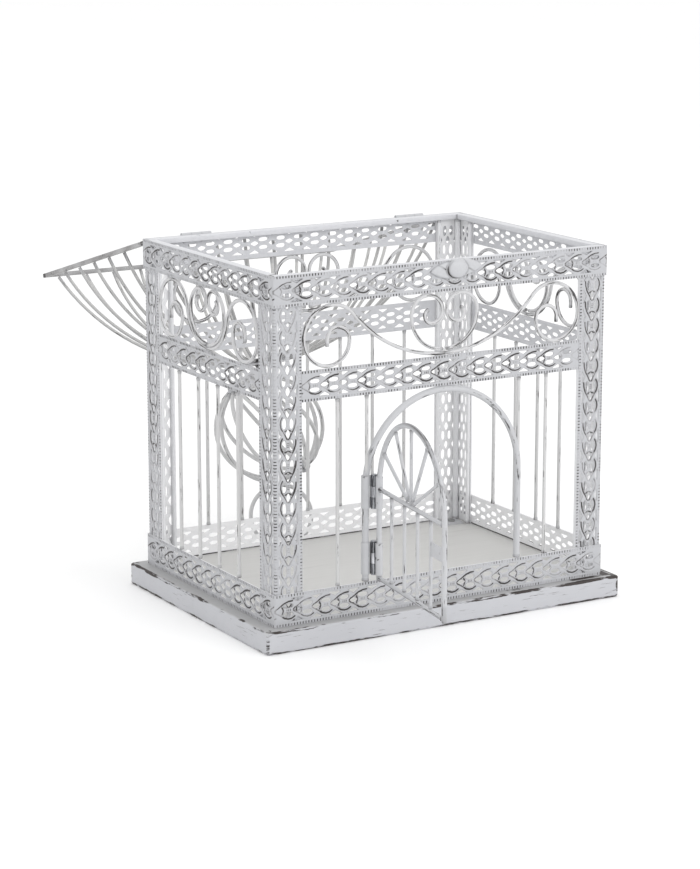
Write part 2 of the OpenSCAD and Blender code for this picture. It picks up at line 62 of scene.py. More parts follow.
# Places taken from the frame
foot_low, foot_high = span("foot_band_front")
mid_low, mid_high = span("mid_band_front")
top_low, top_high = span("top_band_front")
HALF_W, HALF_D = foot_high[0], -foot_low[1]
FOOT_Z, FOOT_TOP = foot_low[2], foot_high[2]
MID_Z, MID_TOP = mid_low[2], mid_high[2]
BAND_Z, TOP_Z = top_low[2], top_high[2]
WALLS = {"front": (0, HALF_D), "right": (90, HALF_W), "back": (180, HALF_D), "left": (-90, HALF_W)}
CORNERS = {"front_left": (0, -1, -1), "front_right": (90, 1, -1),
           "back_right": (180, 1, 1), "back_left": (270, -1, 1)}

# Sizes of the wires and strips
STRIP_T = 1.0          # thickness of the pressed strip
PROUD = 1.2            # the corner trim and the middle band lie this far behind the outer plane
TRIM_EDGE = 25.2       # the corner trim reaches this far along each wall
CORNER_R = 1.2         # outer bend of the corner trim
WIRE_IN = 1.7          # bars and scrolls run this far behind the outer plane
WIRE_R = 1.5
POST_R, POST_IN = 2.5, 4.9                         # rod inside each corner
EDGE_R, EDGE_ALONG, EDGE_IN = 1.75, 23.45, 4.15    # rods along the free edges of the corner trim
POST_TOP = 285.8       # top of the corner rods and of the corner trim
WELD_GAP = 0.2
WELD_REACH = 1.6       # a weld swells its wire over this length
WELD_WEAR = 0.45       # crevice of a weld
SIDE_WEAR_AND_SHADE, SIDE_WEAR_AND_SHADE_FROM, SIDE_WEAR_AND_SHADE_FADE = 0.9, 0.5, 0.4       # crevice of a wire's dark side, which is worn metal with painted shade, and where it fades in
END_SHRINK = 0.85      # radius of a wire's end face, against the wire's own
PITCH = 16.5           # from ring to ring of the filigree
CELL = PITCH / 30      # grid of the pressed strip
TICK = PITCH / 6.5     # from bead to bead of its borders
COAT = 0.12            # paint coordinate per millimetre of strip
WIRE_COAT = 0.045      # paint coordinate per millimetre along a wire
ROUND_COAT = 1.2       # paint coordinate round a wire
TURNED_COAT = 0.3      # paint coordinate per millimetre of a turned piece
SLAB_COAT = 0.11       # paint coordinate per millimetre of a bar or board
RELIEF = 0.42          # depth of the pressing
END_ROUND = 0.8        # a strip's round end drops by this much
BACK_LAYER = 9.0       # paint coordinate from a plate's front to its back
WASH = 0.12            # how much of the dark is left on a rubbed front
CLEAN_LIT = -1.0           # crevice of a face that was never rubbed, which takes the clean paint made brighter as painted light
NO_FOOT = -1.0         # for a plate's back that has no dark foot
# A clean back takes the clean paint made brighter as painted light; a foot back adds its dark foot.
RUBBED_BACK, CLEAN_LIT_BACK, FOOT_BACK = (0.05, NO_FOOT), (CLEAN_LIT, NO_FOOT), (CLEAN_LIT, 1.0)

# Rest places of the bodies: each is drawn closed, which is the upper limit of its joint
REST = {"cage": Matrix.Identity(4)}
for joint in frame["joints"]:
    turn = Matrix.Rotation(-math.radians(joint["range_deg"][1]), 4, Vector(joint["axis"]))
    pin = Matrix.Translation(joint["pos_m"])
    REST[joint["child"]] = pin @ turn @ pin.inverted()


class Shape:
    """Points and faces in millimetres.

    Each point has a crevice, which is how hollow or worn it is, with painted shade added in places and, below
    zero, paint made brighter as painted light, and a coat, which is its place in the paint.
    """

    def __init__(self):
        self.points, self.crevice, self.coat, self.faces, self.count = [], [], [], [], 0

    def add(self, points, faces, crevice, coat):
        """Adds faces, which number the points given with them from 0."""
        points = np.asarray(points, float)
        self.points.append(points)
        self.crevice.append(np.broadcast_to(np.asarray(crevice, float), len(points)))
        self.coat.append(np.asarray(coat, float))
        self.faces += [[i + self.count for i in face] for face in faces]
        self.count += len(points)

    def make(self, name, nodes, body, slot, material, place=Matrix.Identity(4), sharp=50):
        """Makes the object, which rides on body and stands for the nodes."""
        mesh = bpy.data.meshes.new(name)
        mesh.from_pydata((np.concatenate(self.points) * MM).tolist(), [], self.faces)
        crevice = mesh.attributes.new("crevice", "FLOAT", "POINT")
        crevice.data.foreach_set("value", np.concatenate(self.crevice))
        coat = mesh.attributes.new("coat", "FLOAT_VECTOR", "POINT")
        coat.data.foreach_set("vector", np.concatenate(self.coat).ravel())
        mesh.transform(REST[body] @ place)
        mesh.shade_smooth()
        mesh.set_sharp_from_angle(angle=math.radians(sharp))
        mesh.materials.append(material)
        piece = bpy.data.objects.new(name, mesh)
        bpy.context.scene.collection.objects.link(piece)
        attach(piece, body)
        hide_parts(*nodes)


# Shapes


def arc(x, z, r, start, end, step=6):
    """Points on an arc, angles in degrees from +x towards +z."""
    n = max(2, math.ceil(abs(end - start) / step) + 1)
    angles = [math.radians(a) for a in np.linspace(start, end, n)]
    return [(x + r * math.cos(a), z + r * math.sin(a)) for a in angles]


def chain(*runs):
    """Runs of points joined into one, without the doubled points where they meet."""
    path = []
    for p in (q for run in runs for q in run):
        if not path or math.dist(p, path[-1]) > 0.02:
            path.append(p)
    return path


def rod_path(a, b, step=14.0):
    """Points from a to b, close together near the welded ends."""
    a, b = np.asarray(a, float), np.asarray(b, float)
    length = np.linalg.norm(b - a)
    near = [0, 0.5, 1.1, 2.0, 3.4]
    weld_end = 5.0
    middle = np.linspace(weld_end, length - weld_end, max(2, int(length / step)))
    along = np.array(near + list(middle) + [length - u for u in reversed(near)])
    return a + (b - a) * (along / length)[:, None]


def skin(loops, sides, closed=False):
    """Faces between loops of points, one loop after another, capped at both ends or closed into a ring."""
    faces = []
    for k in range(loops if closed else loops - 1):
        here, there = k * sides, (k + 1) % loops * sides
        for i in range(sides):
            j = (i + 1) % sides
            faces.append([here + i, here + j, there + j, there + i])
    if not closed:
        last = (loops - 1) * sides
        faces += [list(range(sides))[::-1], list(range(last, last + sides))]
    return faces


def tube(shape, path, radius, seed=0.0, sides=10, closed=False, weld=0.28, dark_side=None):
    """A wire along the path, swelling into a weld at each end.

    The last argument gives, for each point of the path, the way that the wire's dark side faces; that side is
    worn metal, and on the undersides painted shade.
    """
    p = np.asarray(path, float)
    n = len(p)
    steps = np.linalg.norm(np.diff(p, axis=0), axis=1)
    u = np.concatenate([[0], np.cumsum(steps)])
    t = np.roll(p, -1, 0) - np.roll(p, 1, 0) if closed else np.gradient(p, axis=0)
    t /= np.linalg.norm(t, axis=1)[:, None]
    side = np.cross(t[0], [0.3, 0.5, 0.81] if abs(t[0][0]) > 0.5 else [1, 0, 0])
    sides_at = []
    for k in range(n):
        side = side - t[k] * side.dot(t[k])
        side = side / np.linalg.norm(side)
        sides_at.append(side)
    across = np.array(sides_at)
    up = np.cross(t, across)
    near_end = 0 * u if closed else np.exp(-(u / WELD_REACH) ** 2) + np.exp(-((u[-1] - u) / WELD_REACH) ** 2)
    r = radius * (1 + weld * near_end)
    if not closed:
        r[[0, -1]] *= END_SHRINK
    angle = np.linspace(0, 2 * math.pi, sides, endpoint=False)
    ring = across[:, None] * np.cos(angle)[:, None] + up[:, None] * np.sin(angle)[:, None]
    points = (p[:, None] + r[:, None, None] * ring).reshape(-1, 3)
    coat_along = u[:, None] * WIRE_COAT + seed * 7.3
    coat_round = np.cos(angle) * ROUND_COAT + seed, np.sin(angle) * ROUND_COAT - seed
    coat = np.stack(np.broadcast_arrays(coat_along, *coat_round), axis=-1).reshape(-1, 3)
    worn = np.repeat(WELD_WEAR * np.clip(near_end, 0, 1), sides)
    # the wire's dark side: worn metal, with painted shade on the undersides
    if dark_side is not None:
        facing = (ring * dark_side(p)[:, None]).sum(-1).ravel()
        worn = np.maximum(worn, SIDE_WEAR_AND_SHADE * np.clip((facing - SIDE_WEAR_AND_SHADE_FROM) / SIDE_WEAR_AND_SHADE_FADE, 0, 1))
    shape.add(points, skin(n, sides, closed), worn, coat)


def worn_and_shaded_side(way, strength=0.72):
    """For a wire's dark side, worn metal with painted shade: one way all along a wire.

    A strength of 1 darkens the whole side, and less leaves patches of paint.
    """
    way = strength * np.array(way, float) / np.linalg.norm(way)
    return lambda points: np.broadcast_to(way, points.shape)


def lathe(shape, profile, place, crevice, sides=40, seed=0.0):
    """A profile of (radius, height) turned about z, both ends closed; place puts its points where they go."""
    angle = np.linspace(0, 2 * math.pi, sides, endpoint=False)
    turned = np.array([(r * math.cos(a), r * math.sin(a), z) for r, z in profile for a in angle])
    points = [place @ Vector(q) for q in turned]
    coat = turned * TURNED_COAT + (seed, 0, 0)
    shape.add(points, skin(len(profile), sides), np.repeat(crevice, sides), coat)


def rounded_outline(wide, tall, radius, step):
    """Points round a rectangle with rounded corners, about step apart along its sides."""
    loop = []
    for x, y, start in ((wide - radius, radius, 270), (wide - radius, tall - radius, 0),
                        (radius, tall - radius, 90), (radius, radius, 180)):
        loop += arc(x, y, radius, start, start + 90, 30)
    outline = []
    for a, b in zip(loop, loop[1:] + loop[:1]):
        far = math.dist(a, b)
        count = max(1, int(round(far / step))) if far > 2 * radius else 1
        outline += [np.array(a) + (np.array(b) - np.array(a)) * k / count for k in range(count)]
    return np.array(outline)


def slab(shape, low, high, radius, turn=(0, 1, 2), step=6.0, seed=0.0, edge=0.5, corner=0.0, jitter=0.0):
    """A bar or board with rounded edges, worn by edge round its end loops and by corner along its length.

    turn names the axes that the loops use as x, y and z. jitter is how far, in percent, a worn point may be
    bitten in towards the middle.
    """
    flat_fade, side_fade, side_step = 2.5, 1.2, 8
    low, high = np.array(low, float)[list(turn)], np.array(high, float)[list(turn)]
    size = high - low
    outline = rounded_outline(size[0], size[1], radius, step)
    middle = size[:2] / 2
    upright = (np.abs(outline - middle) > middle - 1.01 * radius).all(1)
    bend = [(math.sin(a), math.cos(a)) for a in np.linspace(0, math.pi / 2, 4)]
    loops, wear = [], []

    def loop(inset, z, worn):
        pulled = outline + (middle - outline) * np.minimum(inset / middle, 0.98)
        loops.append(np.column_stack([pulled, np.full(len(outline), z)]))
        wear.append(np.where(upright, np.maximum(worn, corner), worn))

    loop(radius + flat_fade, 0, 0.0)
    for s, c in bend:
        loop(radius * (1 - s), radius * (1 - c), edge)
    side_end = radius + side_fade
    for z in np.linspace(side_end, size[2] - side_end, max(2, int(size[2] / side_step))):
        loop(0, z, 0.0)
    for s, c in reversed(bend):
        loop(radius * (1 - s), size[2] - radius * (1 - c), edge)
    loop(radius + flat_fade, size[2], 0.0)
    points, wear = np.concatenate(loops), np.concatenate(wear)
    if jitter:
        random = np.random.default_rng(int(seed * 10) + 5)
        bite = jitter * random.random(len(points)) ** 3 * (wear > 0)
        points = points + (size / 2 - points) * (bite / 100)[:, None]
    faces = skin(len(loops), len(outline))
    if np.linalg.det(np.eye(3)[list(turn)]) < 0:
        faces = [face[::-1] for face in faces]
    placed = np.empty_like(points)
    placed[:, list(turn)] = points + low
    shape.add(placed, faces, wear, placed * SLAB_COAT + seed)


def relief(shape, u, v, solid, front, crevice, place, seed=0.0, coat_scale=COAT, lay=None,
           back=(0.0, NO_FOOT)):
    """A plate cut to solid(u, v) > 0, with a carved front and a flat back, on a grid of u by v.

    Grid points near the cut are moved onto it. lay turns v into the paint's own coordinate. back is the flat
    back's crevice and the height of its dark foot.
    """
    uu, vv = np.meshgrid(u, v)
    h = solid(uu, vv)
    du, dv = u[1] - u[0], v[1] - v[0]
    hv, hu = np.gradient(h, dv, du)
    steep = hu ** 2 + hv ** 2 + 1e-9
    near = np.abs(h) < 0.6 * min(du, dv) * np.sqrt(steep)
    near[[0, -1], :] = near[:, [0, -1]] = False
    uu, vv = uu - np.where(near, h * hu / steep, 0), vv - np.where(near, h * hv / steep, 0)
    kept = (h > 0) | near
    rows, columns = h.shape
    index = np.arange(rows * columns).reshape(rows, columns)
    corners = np.stack([index[:-1, :-1], index[:-1, 1:], index[1:, 1:], index[1:, :-1]], -1).reshape(-1, 4)
    full = kept.ravel()[corners]
    faces = corners[full.all(1)].tolist()
    faces += [c[m].tolist() for c, m in zip(corners[full.sum(1) == 3], full[full.sum(1) == 3])]
    total = rows * columns
    edges = {(a, b) for face in faces for a, b in zip(face, face[1:] + face[:1])}
    rim = [(a, b) for a, b in edges if (b, a) not in edges]
    faces += [[i + total for i in face[::-1]] for face in faces]
    faces += [[b, a, a + total, b + total] for a, b in sorted(rim)]
    flat_u, flat_v = uu.ravel(), vv.ravel()
    height = np.concatenate([front(flat_u, flat_v), np.zeros(total)])
    both_u, both_v = np.tile(flat_u, 2), np.tile(flat_v, 2)
    hollow = np.concatenate([crevice(flat_u, flat_v), np.where(flat_v < v[0] + back[1], 1.0, back[0])])
    used = np.unique([i for face in faces for i in face])
    renumber = np.zeros(2 * total, int)
    renumber[used] = np.arange(len(used))
    points = place(both_u[used], both_v[used], height[used])
    laid = both_v[used] if lay is None else lay(both_v[used])
    layer = seed + np.where(used < total, 0.0, BACK_LAYER) + height[used] * 0.1
    coat = np.column_stack([both_u[used] * coat_scale + seed * 5.1, laid * coat_scale, layer])
    shape.add(points, [[int(renumber[i]) for i in face] for face in faces], hollow[used], coat)


# The pressed filigree: rings of two ovals, holes between them, twisted ribbons and beaded borders

STRIP_W = 24.0                                     # width that the pattern is drawn for
OVAL_V, OVAL_A, OVAL_B = 3.25, 4.4, 1.8            # an oval's place off the middle line and its half sizes
DIAMOND_A, DIAMOND_B = 3.9, 2.0                    # half sizes of the hole between two rings
TRI_BASE, TRI_APEX, TRI_HALF = 8.6, 5.5, 5.9       # base and tip of a triangle, and its half width
BORDER_LINE, BORDER_IN, BORDER_OUT = 9.2, 10.1, 11.7    # crease beside a border, and the border's two sides
LINE_HALF = 0.46                                   # half width of a pressed line
BEAD_STEP, BEAD_HIGH, BEAD_REACH = 1.5, 0.6, 2.2   # short bars between a ring's two ovals
# Pressed lines about a ring, each with how dark it has aged
RIBBONS = (
    (1.0, ((-6.4, 3.9), (-4, 5.3), (0, 6.5), (3.4, 6.7))),
    (0.5, ((-12.3, 0.5), (-9.4, 2.2), (-6.4, 3.9))),
    (1.0, ((-5.2, -4.7), (-3.5, -5.9), (0, -6.7), (3, -6.3), (5.4, -5.0))),
    (0.4, ((-12.3, -0.7), (-8.2, -2.9), (-5.2, -4.7))),
    (0.75, ((-5.9, 2.6), (-5.1, 1.4), (-4.7, 0), (-5.1, -1.5), (-5.7, -2.8))),
    (0.5, ((5.4, 1.7), (4.8, 0), (5.4, -1.5))),
)


def oval(x, y, a, b, power):
    """About how far (x, y) lies outside a rounded oval."""
    return ((np.abs(x / a) ** power + np.abs(y / b) ** power) ** (1 / power) - 1) * min(a, b)


def nearest(x, rings, shift):
    """x measured from the nearest ring, or with shift 0.5 from the nearest gap between two rings."""
    last = rings - 1
    k = np.clip(np.round(x / PITCH + last / 2 - shift), 0, last - 2 * shift)
    return x - (k + shift - last / 2) * PITCH


def holes(x, y, rings):
    """About how far (x, y) lies outside the nearest hole, which paint clogs unevenly."""
    ring, gap = nearest(x, rings, 0.0), nearest(x, rings, 0.5)
    slant, sharp = 0.88, 5
    triangle_sides = slant * (TRI_APEX + (TRI_BASE - TRI_APEX) * np.abs(gap) / TRI_HALF - np.abs(y))
    triangle = np.logaddexp(sharp * (np.abs(y) - TRI_BASE), sharp * triangle_sides) / sharp
    clogged = 0.10 + 0.20 * np.sin(0.21 * x + 0.5 * y) * np.sin(0.047 * x - 0.3 * y)
    return clogged + np.minimum(np.minimum(oval(ring, np.abs(y) - OVAL_V, OVAL_A, OVAL_B, 2.3),
                                           oval(gap, y, DIAMOND_A, DIAMOND_B, 1.35)), triangle)


def groove(x, y, rings):
    """1 in the darkest pressed lines of the twisted ribbons, 0 away from them."""
    ring = nearest(x, rings, 0.0)
    deep = np.zeros(x.shape)
    for weight, line in RIBBONS:
        far = np.full(x.shape, 9.0)
        for (ax, ay), (bx, by) in zip(line, line[1:]):
            for shift in (-PITCH, 0, PITCH):
                px, py = ring + shift - ax, y - ay
                k = np.clip((px * (bx - ax) + py * (by - ay)) / ((bx - ax) ** 2 + (by - ay) ** 2), 0, 1)
                far = np.minimum(far, np.hypot(px - k * (bx - ax), py - k * (by - ay)))
        deep = np.maximum(deep, weight * np.exp(-(far / LINE_HALF) ** 2))
    from_bar = (ring + 1.5 * BEAD_STEP) % BEAD_STEP - BEAD_STEP / 2
    bar = np.hypot(from_bar, np.maximum(np.abs(y) - BEAD_HIGH, 0)) + np.maximum(np.abs(ring) - BEAD_REACH, 0)
    return np.maximum(deep, 0.6 * np.exp(-((bar + 0.15) / 0.40) ** 2))


def ticks(x, y):
    """1 between two beads of the borders."""
    wave = (0.5 + 0.5 * np.cos(2 * math.pi * x / TICK)) ** 1.3
    edge = np.clip((np.abs(y) - BORDER_IN) / 0.4, 0, 1) * np.clip((BORDER_OUT - np.abs(y)) / 0.3, 0, 1)
    return wave * edge


def pressed(x, y, rings):
    """Height of the strip's front over its back."""
    rim = np.exp(-(holes(x, y, rings) / 0.55) ** 2)
    crease = np.exp(-((np.abs(y) - BORDER_LINE) / 0.4) ** 2)
    drop = RELIEF - 0.40 * groove(x, y, rings) - 0.30 * ticks(x, y) - 0.3 * rim - 0.12 * crease
    return STRIP_T - RELIEF + np.clip(drop, 0.02, RELIEF)


def aged(x, y, rings):
    """Where the dark shows: in the lines and round the holes."""
    rim = np.exp(-(holes(x, y, rings) / 0.35) ** 2)
    return np.clip(np.maximum(np.maximum(groove(x, y, rings) ** 0.5, 0.42 * rim), WASH), 0, 1)


def wall(side):
    """Puts a wall, drawn as the front wall, on its side of the cage."""
    turn, out = WALLS[side]
    return Matrix.Rotation(math.radians(turn), 4, "Z") @ Matrix.Translation((0, -out * MM, 0))


def band(name, side, length, low, high, inset, ends_round, back):
    """A filigree strip along a wall."""
    rings = int((length - 2) // PITCH)
    half, tall = length / 2, high - low
    u = np.linspace(-half, half, int(round(length / CELL)) + 1)
    v = np.linspace(-tall / 2, tall / 2, int(round(tall / CELL)) + 1)
    fit = STRIP_W / tall
    seed = WALLS[side][0] / 40 + low / 37

    def front(x, y):
        to_end = np.clip(half - np.abs(x), 0, 1) if ends_round else np.ones_like(x)
        return pressed(x, y * fit, rings) - END_ROUND * (1 - np.sqrt(1 - (1 - to_end) ** 2))

    def place(x, y, w):
        return np.column_stack([x, inset + STRIP_T - w, y + (low + high) / 2])

    shape = Shape()
    relief(shape, u, v, lambda x, y: holes(x, y * fit, rings), front, lambda x, y: aged(x, y * fit, rings),
           place, seed, COAT, lambda y: y * fit, back)
    shape.make(f"{name}_{side}_filigree", [f"{name}_{side}"], "cage", "paint", STRIP, wall(side))


def corner_trim(corner):
    """A filigree strip bent round a corner of the cage, drawn for the front left corner."""
    turn, sx, sy = CORNERS[corner]
    low, high = FOOT_Z, POST_TOP
    bend = CORNER_R * math.pi / 4
    centre = PROUD + CORNER_R
    reach = bend + TRIM_EDGE - centre
    middle = reach - STRIP_W / 2
    rings = int((high - low - 2) // PITCH)
    half = (high - low) / 2
    u = np.linspace(-half, half, int(round(2 * half / CELL)) + 1)
    v = np.linspace(-reach, reach, 2 * int(round(reach / CELL)) + 1)
    seed = turn / 33 + 1.7

    def across(y):
        return np.abs(y) - middle

    def place(x, y, w):
        deep = STRIP_T - w
        swing = (np.clip(-y, -bend, bend) + bend) / (2 * bend) * math.pi / 2
        radius = CORNER_R - deep
        px = centre - radius * np.sin(swing) + np.maximum(y - bend, 0)
        py = centre - radius * np.cos(swing) + np.maximum(-y - bend, 0)
        return np.column_stack([px, py, x + (low + high) / 2])

    shape = Shape()
    relief(shape, u, v, lambda x, y: holes(x, across(y), rings), lambda x, y: pressed(x, across(y), rings),
           lambda x, y: aged(x, across(y), rings), place, seed, COAT, across, CLEAN_LIT_BACK)
    shape.faces = [face[::-1] for face in shape.faces]
    at = Matrix.Translation((sx * HALF_W * MM, sy * HALF_D * MM, 0))
    at = at @ Matrix.Rotation(math.radians(turn), 4, "Z")
    shape.make(f"corner_trim_{corner}_filigree", [f"corner_trim_{corner}"], "cage", "paint", STRIP, at)
    rods = Shape()
    for k, (x, y, r) in enumerate(((POST_IN, POST_IN, POST_R), (EDGE_ALONG, EDGE_IN, EDGE_R),
                                   (EDGE_IN, EDGE_ALONG, EDGE_R))):
        tube(rods, rod_path((x, y, low), (x, y, high)), r, seed + k * 1.3, sides=14, weld=0.0)
    rods.make(f"post_rods_{corner}_wire", [f"post_rods_{corner}"], "cage", "paint", POST, at)


# Materials


class Tree:
    """A material's nodes, added one at a time."""

    def __init__(self, name):
        self.material = bpy.data.materials.new(name)
        self.material.use_nodes = True
        self.tree = self.material.node_tree
        self.shader = self.tree.nodes["Principled BSDF"]

    def put(self, socket, value):
        """Links the socket to another node's output, or sets it to a value."""
        if isinstance(value, bpy.types.NodeSocket):
            self.tree.links.new(value, socket)
        else:
            socket.default_value = value

    def add(self, kind, inputs, out=0, **settings):
        """Adds a node and gives its output."""
        node = self.tree.nodes.new("ShaderNode" + kind)
        for key, value in settings.items():
            setattr(node, key, value)
        for key, value in inputs.items():
            self.put(node.inputs[key], value)
        return node.outputs[out]

    def math(self, operation, a, b=0.0):
        return self.add("Math", {0: a, 1: b}, operation=operation)

    def noise(self, at, scale, detail=3.0, rough=0.55):
        return self.add("TexNoise", {"Vector": at, "Scale": scale, "Detail": detail, "Roughness": rough})

    def step(self, value, low, high):
        """0 up to low, 1 from high, and smooth between them."""
        limits = {0: value, 1: low, 2: high, 3: 0.0, 4: 1.0}
        return self.add("MapRange", limits, interpolation_type="SMOOTHSTEP")

    def blend(self, amount, a, b):
        return self.add("Mix", {0: amount, 6: a, 7: b}, out=2, data_type="RGBA")

    def stretch(self, at, scale):
        return self.add("VectorMath", {0: at, 1: scale}, operation="MULTIPLY")

    def done(self, colour, rough, height=None, distance=0.0001, strength=0.6, metallic=0.0):
        """Connects the shader, with height as its bump, and gives the finished material."""
        self.put(self.shader.inputs["Base Color"], colour)
        self.put(self.shader.inputs["Roughness"], rough)
        self.put(self.shader.inputs["Metallic"], metallic)
        if height is not None:
            bump = self.add("Bump", {"Height": height, "Distance": distance, "Strength": strength})
            self.put(self.shader.inputs["Normal"], bump)
        return self.material


# Colours: each paint is mottled from its light to its cool tone
LIGHT_PAINT = (0.66, 0.665, 0.69, 1)
COOL_PAINT = (0.58, 0.585, 0.61, 1)
WIRE_LIGHT = (0.62, 0.62, 0.63, 1)
WIRE_COOL = (0.52, 0.52, 0.53, 1)
BAR_LIGHT = (0.63, 0.63, 0.632, 1)
BAR_COOL = (0.55, 0.55, 0.552, 1)
# The corner rods' paint is made brighter as painted light, for the light reaching them inside the corners.
POST_LIT_TONE = (0.80, 0.805, 0.82, 1)
POST_LIT_COOL = (0.73, 0.735, 0.75, 1)
DOOR_LIGHT = (0.54, 0.545, 0.565, 1)
DOOR_COOL = (0.47, 0.475, 0.49, 1)
LID_LIGHT = (0.55, 0.548, 0.542, 1)
LID_COOL = (0.48, 0.478, 0.472, 1)
CLEAN_LIT_PAINT = (0.86, 0.86, 0.87, 1)      # the inner face of a strip: clean paint, made brighter as painted light for the light that reaches the inner faces
WASHED = (0.305, 0.31, 0.325, 1)         # the dark wash on a strip's front
BARE_DARK = (0.022, 0.018, 0.018, 1)     # metal where the paint is gone
RUBBED = (0.20, 0.19, 0.19, 1)           # metal under thin paint
BOARD_SIDE = (0.50, 0.505, 0.53, 1)
BOARD_FLOOR = (0.575, 0.571, 0.557, 1)
# the board's top outside the cage, darker as painted shade from the foot band
BOARD_LEDGE_SHADED = (0.415, 0.415, 0.42, 1)
BOARD_GRAIN = (0.36, 0.35, 0.35, 1)
DARK_WOOD = (0.03, 0.022, 0.02, 1)
# Hinge barrels: brushed steel whose dark and bright bands are painted reflections
BARREL_REFLECTION_DARK, BARREL_REFLECTION_GREY = (0.04, 0.04, 0.045, 1), (0.34, 0.35, 0.37, 1)
KNUCKLE_REFLECTION_GREY, KNUCKLE_REFLECTION_BRIGHT = (0.20, 0.20, 0.215, 1), (0.70, 0.71, 0.74, 1)
HINGE_STEEL = (0.42, 0.43, 0.46, 1)
SCREW_STEEL = (0.50, 0.50, 0.50, 1)


def border_ticks(t, coat, crevice):
    """The dark between the beads of a strip's borders, drawn from the paint coordinates of its front."""
    along = t.add("SeparateXYZ", {0: coat}, out="X")
    across = t.math("ABSOLUTE", t.add("SeparateXYZ", {0: coat}, out="Y"))
    wave = t.math("COSINE", t.math("MULTIPLY", along, 2 * math.pi / (TICK * COAT)))
    inside = t.math("MULTIPLY", t.step(across, (BORDER_IN - 0.3) * COAT, BORDER_IN * COAT),
                    t.math("SUBTRACT", 1.0, t.step(across, BORDER_OUT * COAT, (BORDER_OUT + 0.2) * COAT)))
    inside = t.math("MULTIPLY", inside, t.math("GREATER_THAN", crevice, 0.7 * WASH))
    uneven = t.math("ADD", t.math("MULTIPLY", t.step(t.noise(coat, 0.8, 2), 0.40, 0.62), 0.75), 0.45)
    return t.math("MULTIPLY", t.math("MULTIPLY", inside, uneven), t.step(wave, 0.25, 0.75))


def paint_material(name, streaks, light=LIGHT_PAINT, cool=COOL_PAINT, on_cad=False, strip=False):
    """White paint, rubbed through to dark metal in its hollows and in thin streaks along the wires, darker
    where painted shade is given, and on a strip's clean inner faces brighter as painted light.
    """
    t = Tree(name)
    if on_cad:
        coat = t.stretch(t.add("TexCoord", {}, out="Object"), (70, 70, 70))
        crevice = t.math("MULTIPLY", t.step(t.noise(coat, 1.3), 0.62, 0.75), 0.3)
    else:
        coat = t.add("Attribute", {}, out="Vector", attribute_name="coat")
        crevice = t.add("Attribute", {}, out="Fac", attribute_name="crevice")
    patch = t.step(t.noise(coat, 0.33, 2), 0.34, 0.66)
    grit = t.noise(coat, 9.0, 3)
    deep = t.math("MAXIMUM", crevice, border_ticks(t, coat, crevice)) if strip else crevice
    gate = t.math("MULTIPLY", deep, t.math("ADD", t.math("MULTIPLY", patch, 0.75), 0.50))
    gate = t.math("ADD", gate, t.math("MULTIPLY", t.math("SUBTRACT", grit, 0.5), 0.25))
    wash = t.math("MULTIPLY", t.step(crevice, 0.02, 0.10), 0.5)
    grey = t.step(gate, 0.15, 0.52)
    black = t.step(gate, 0.42, 0.72)
    streak = t.math("MULTIPLY", t.step(t.noise(coat, 1.0, 5, 0.62), streaks, streaks + 0.03), 0.95)
    tone = t.blend(t.noise(coat, 2.2, 3), light, cool)
    tone = t.blend(wash, tone, WASHED)
    # clean inner faces: clean paint made brighter as painted light
    tone = t.blend(t.step(crevice, -0.2, -0.8), tone, CLEAN_LIT_PAINT) if strip else tone
    colour = t.blend(t.math("MULTIPLY", grey, 0.55), tone, RUBBED)
    colour = t.blend(t.math("MAXIMUM", black, streak), colour, BARE_DARK)
    rough = t.add("MapRange", {0: grit, 1: 0.3, 2: 0.7, 3: 0.34, 4: 0.52})
    height = t.math("SUBTRACT", t.noise(coat, 14.0, 2), t.math("MULTIPLY", streak, 1.5))
    return t.done(colour, rough, height, 0.00008)


PAINT = paint_material("aged_paint", 0.70)
STRIP = paint_material("aged_paint_strip", 0.74, strip=True)
WIRE = paint_material("aged_paint_wire", 0.555, WIRE_LIGHT, WIRE_COOL)
BAR = paint_material("aged_paint_bar", 0.62, BAR_LIGHT, BAR_COOL)
# corner rods: paint made brighter as painted light
POST = paint_material("aged_paint_post_lit", 0.66, POST_LIT_TONE, POST_LIT_COOL)
DOOR = paint_material("aged_paint_door", 0.60, DOOR_LIGHT, DOOR_COOL)
LID = paint_material("aged_paint_lid", 0.62, LID_LIGHT, LID_COOL)
FLOWER = paint_material("aged_paint_flower", 0.72, DOOR_LIGHT, DOOR_COOL)
PLATE = paint_material("aged_paint_plate", 0.70, DOOR_LIGHT, DOOR_COOL, on_cad=True)


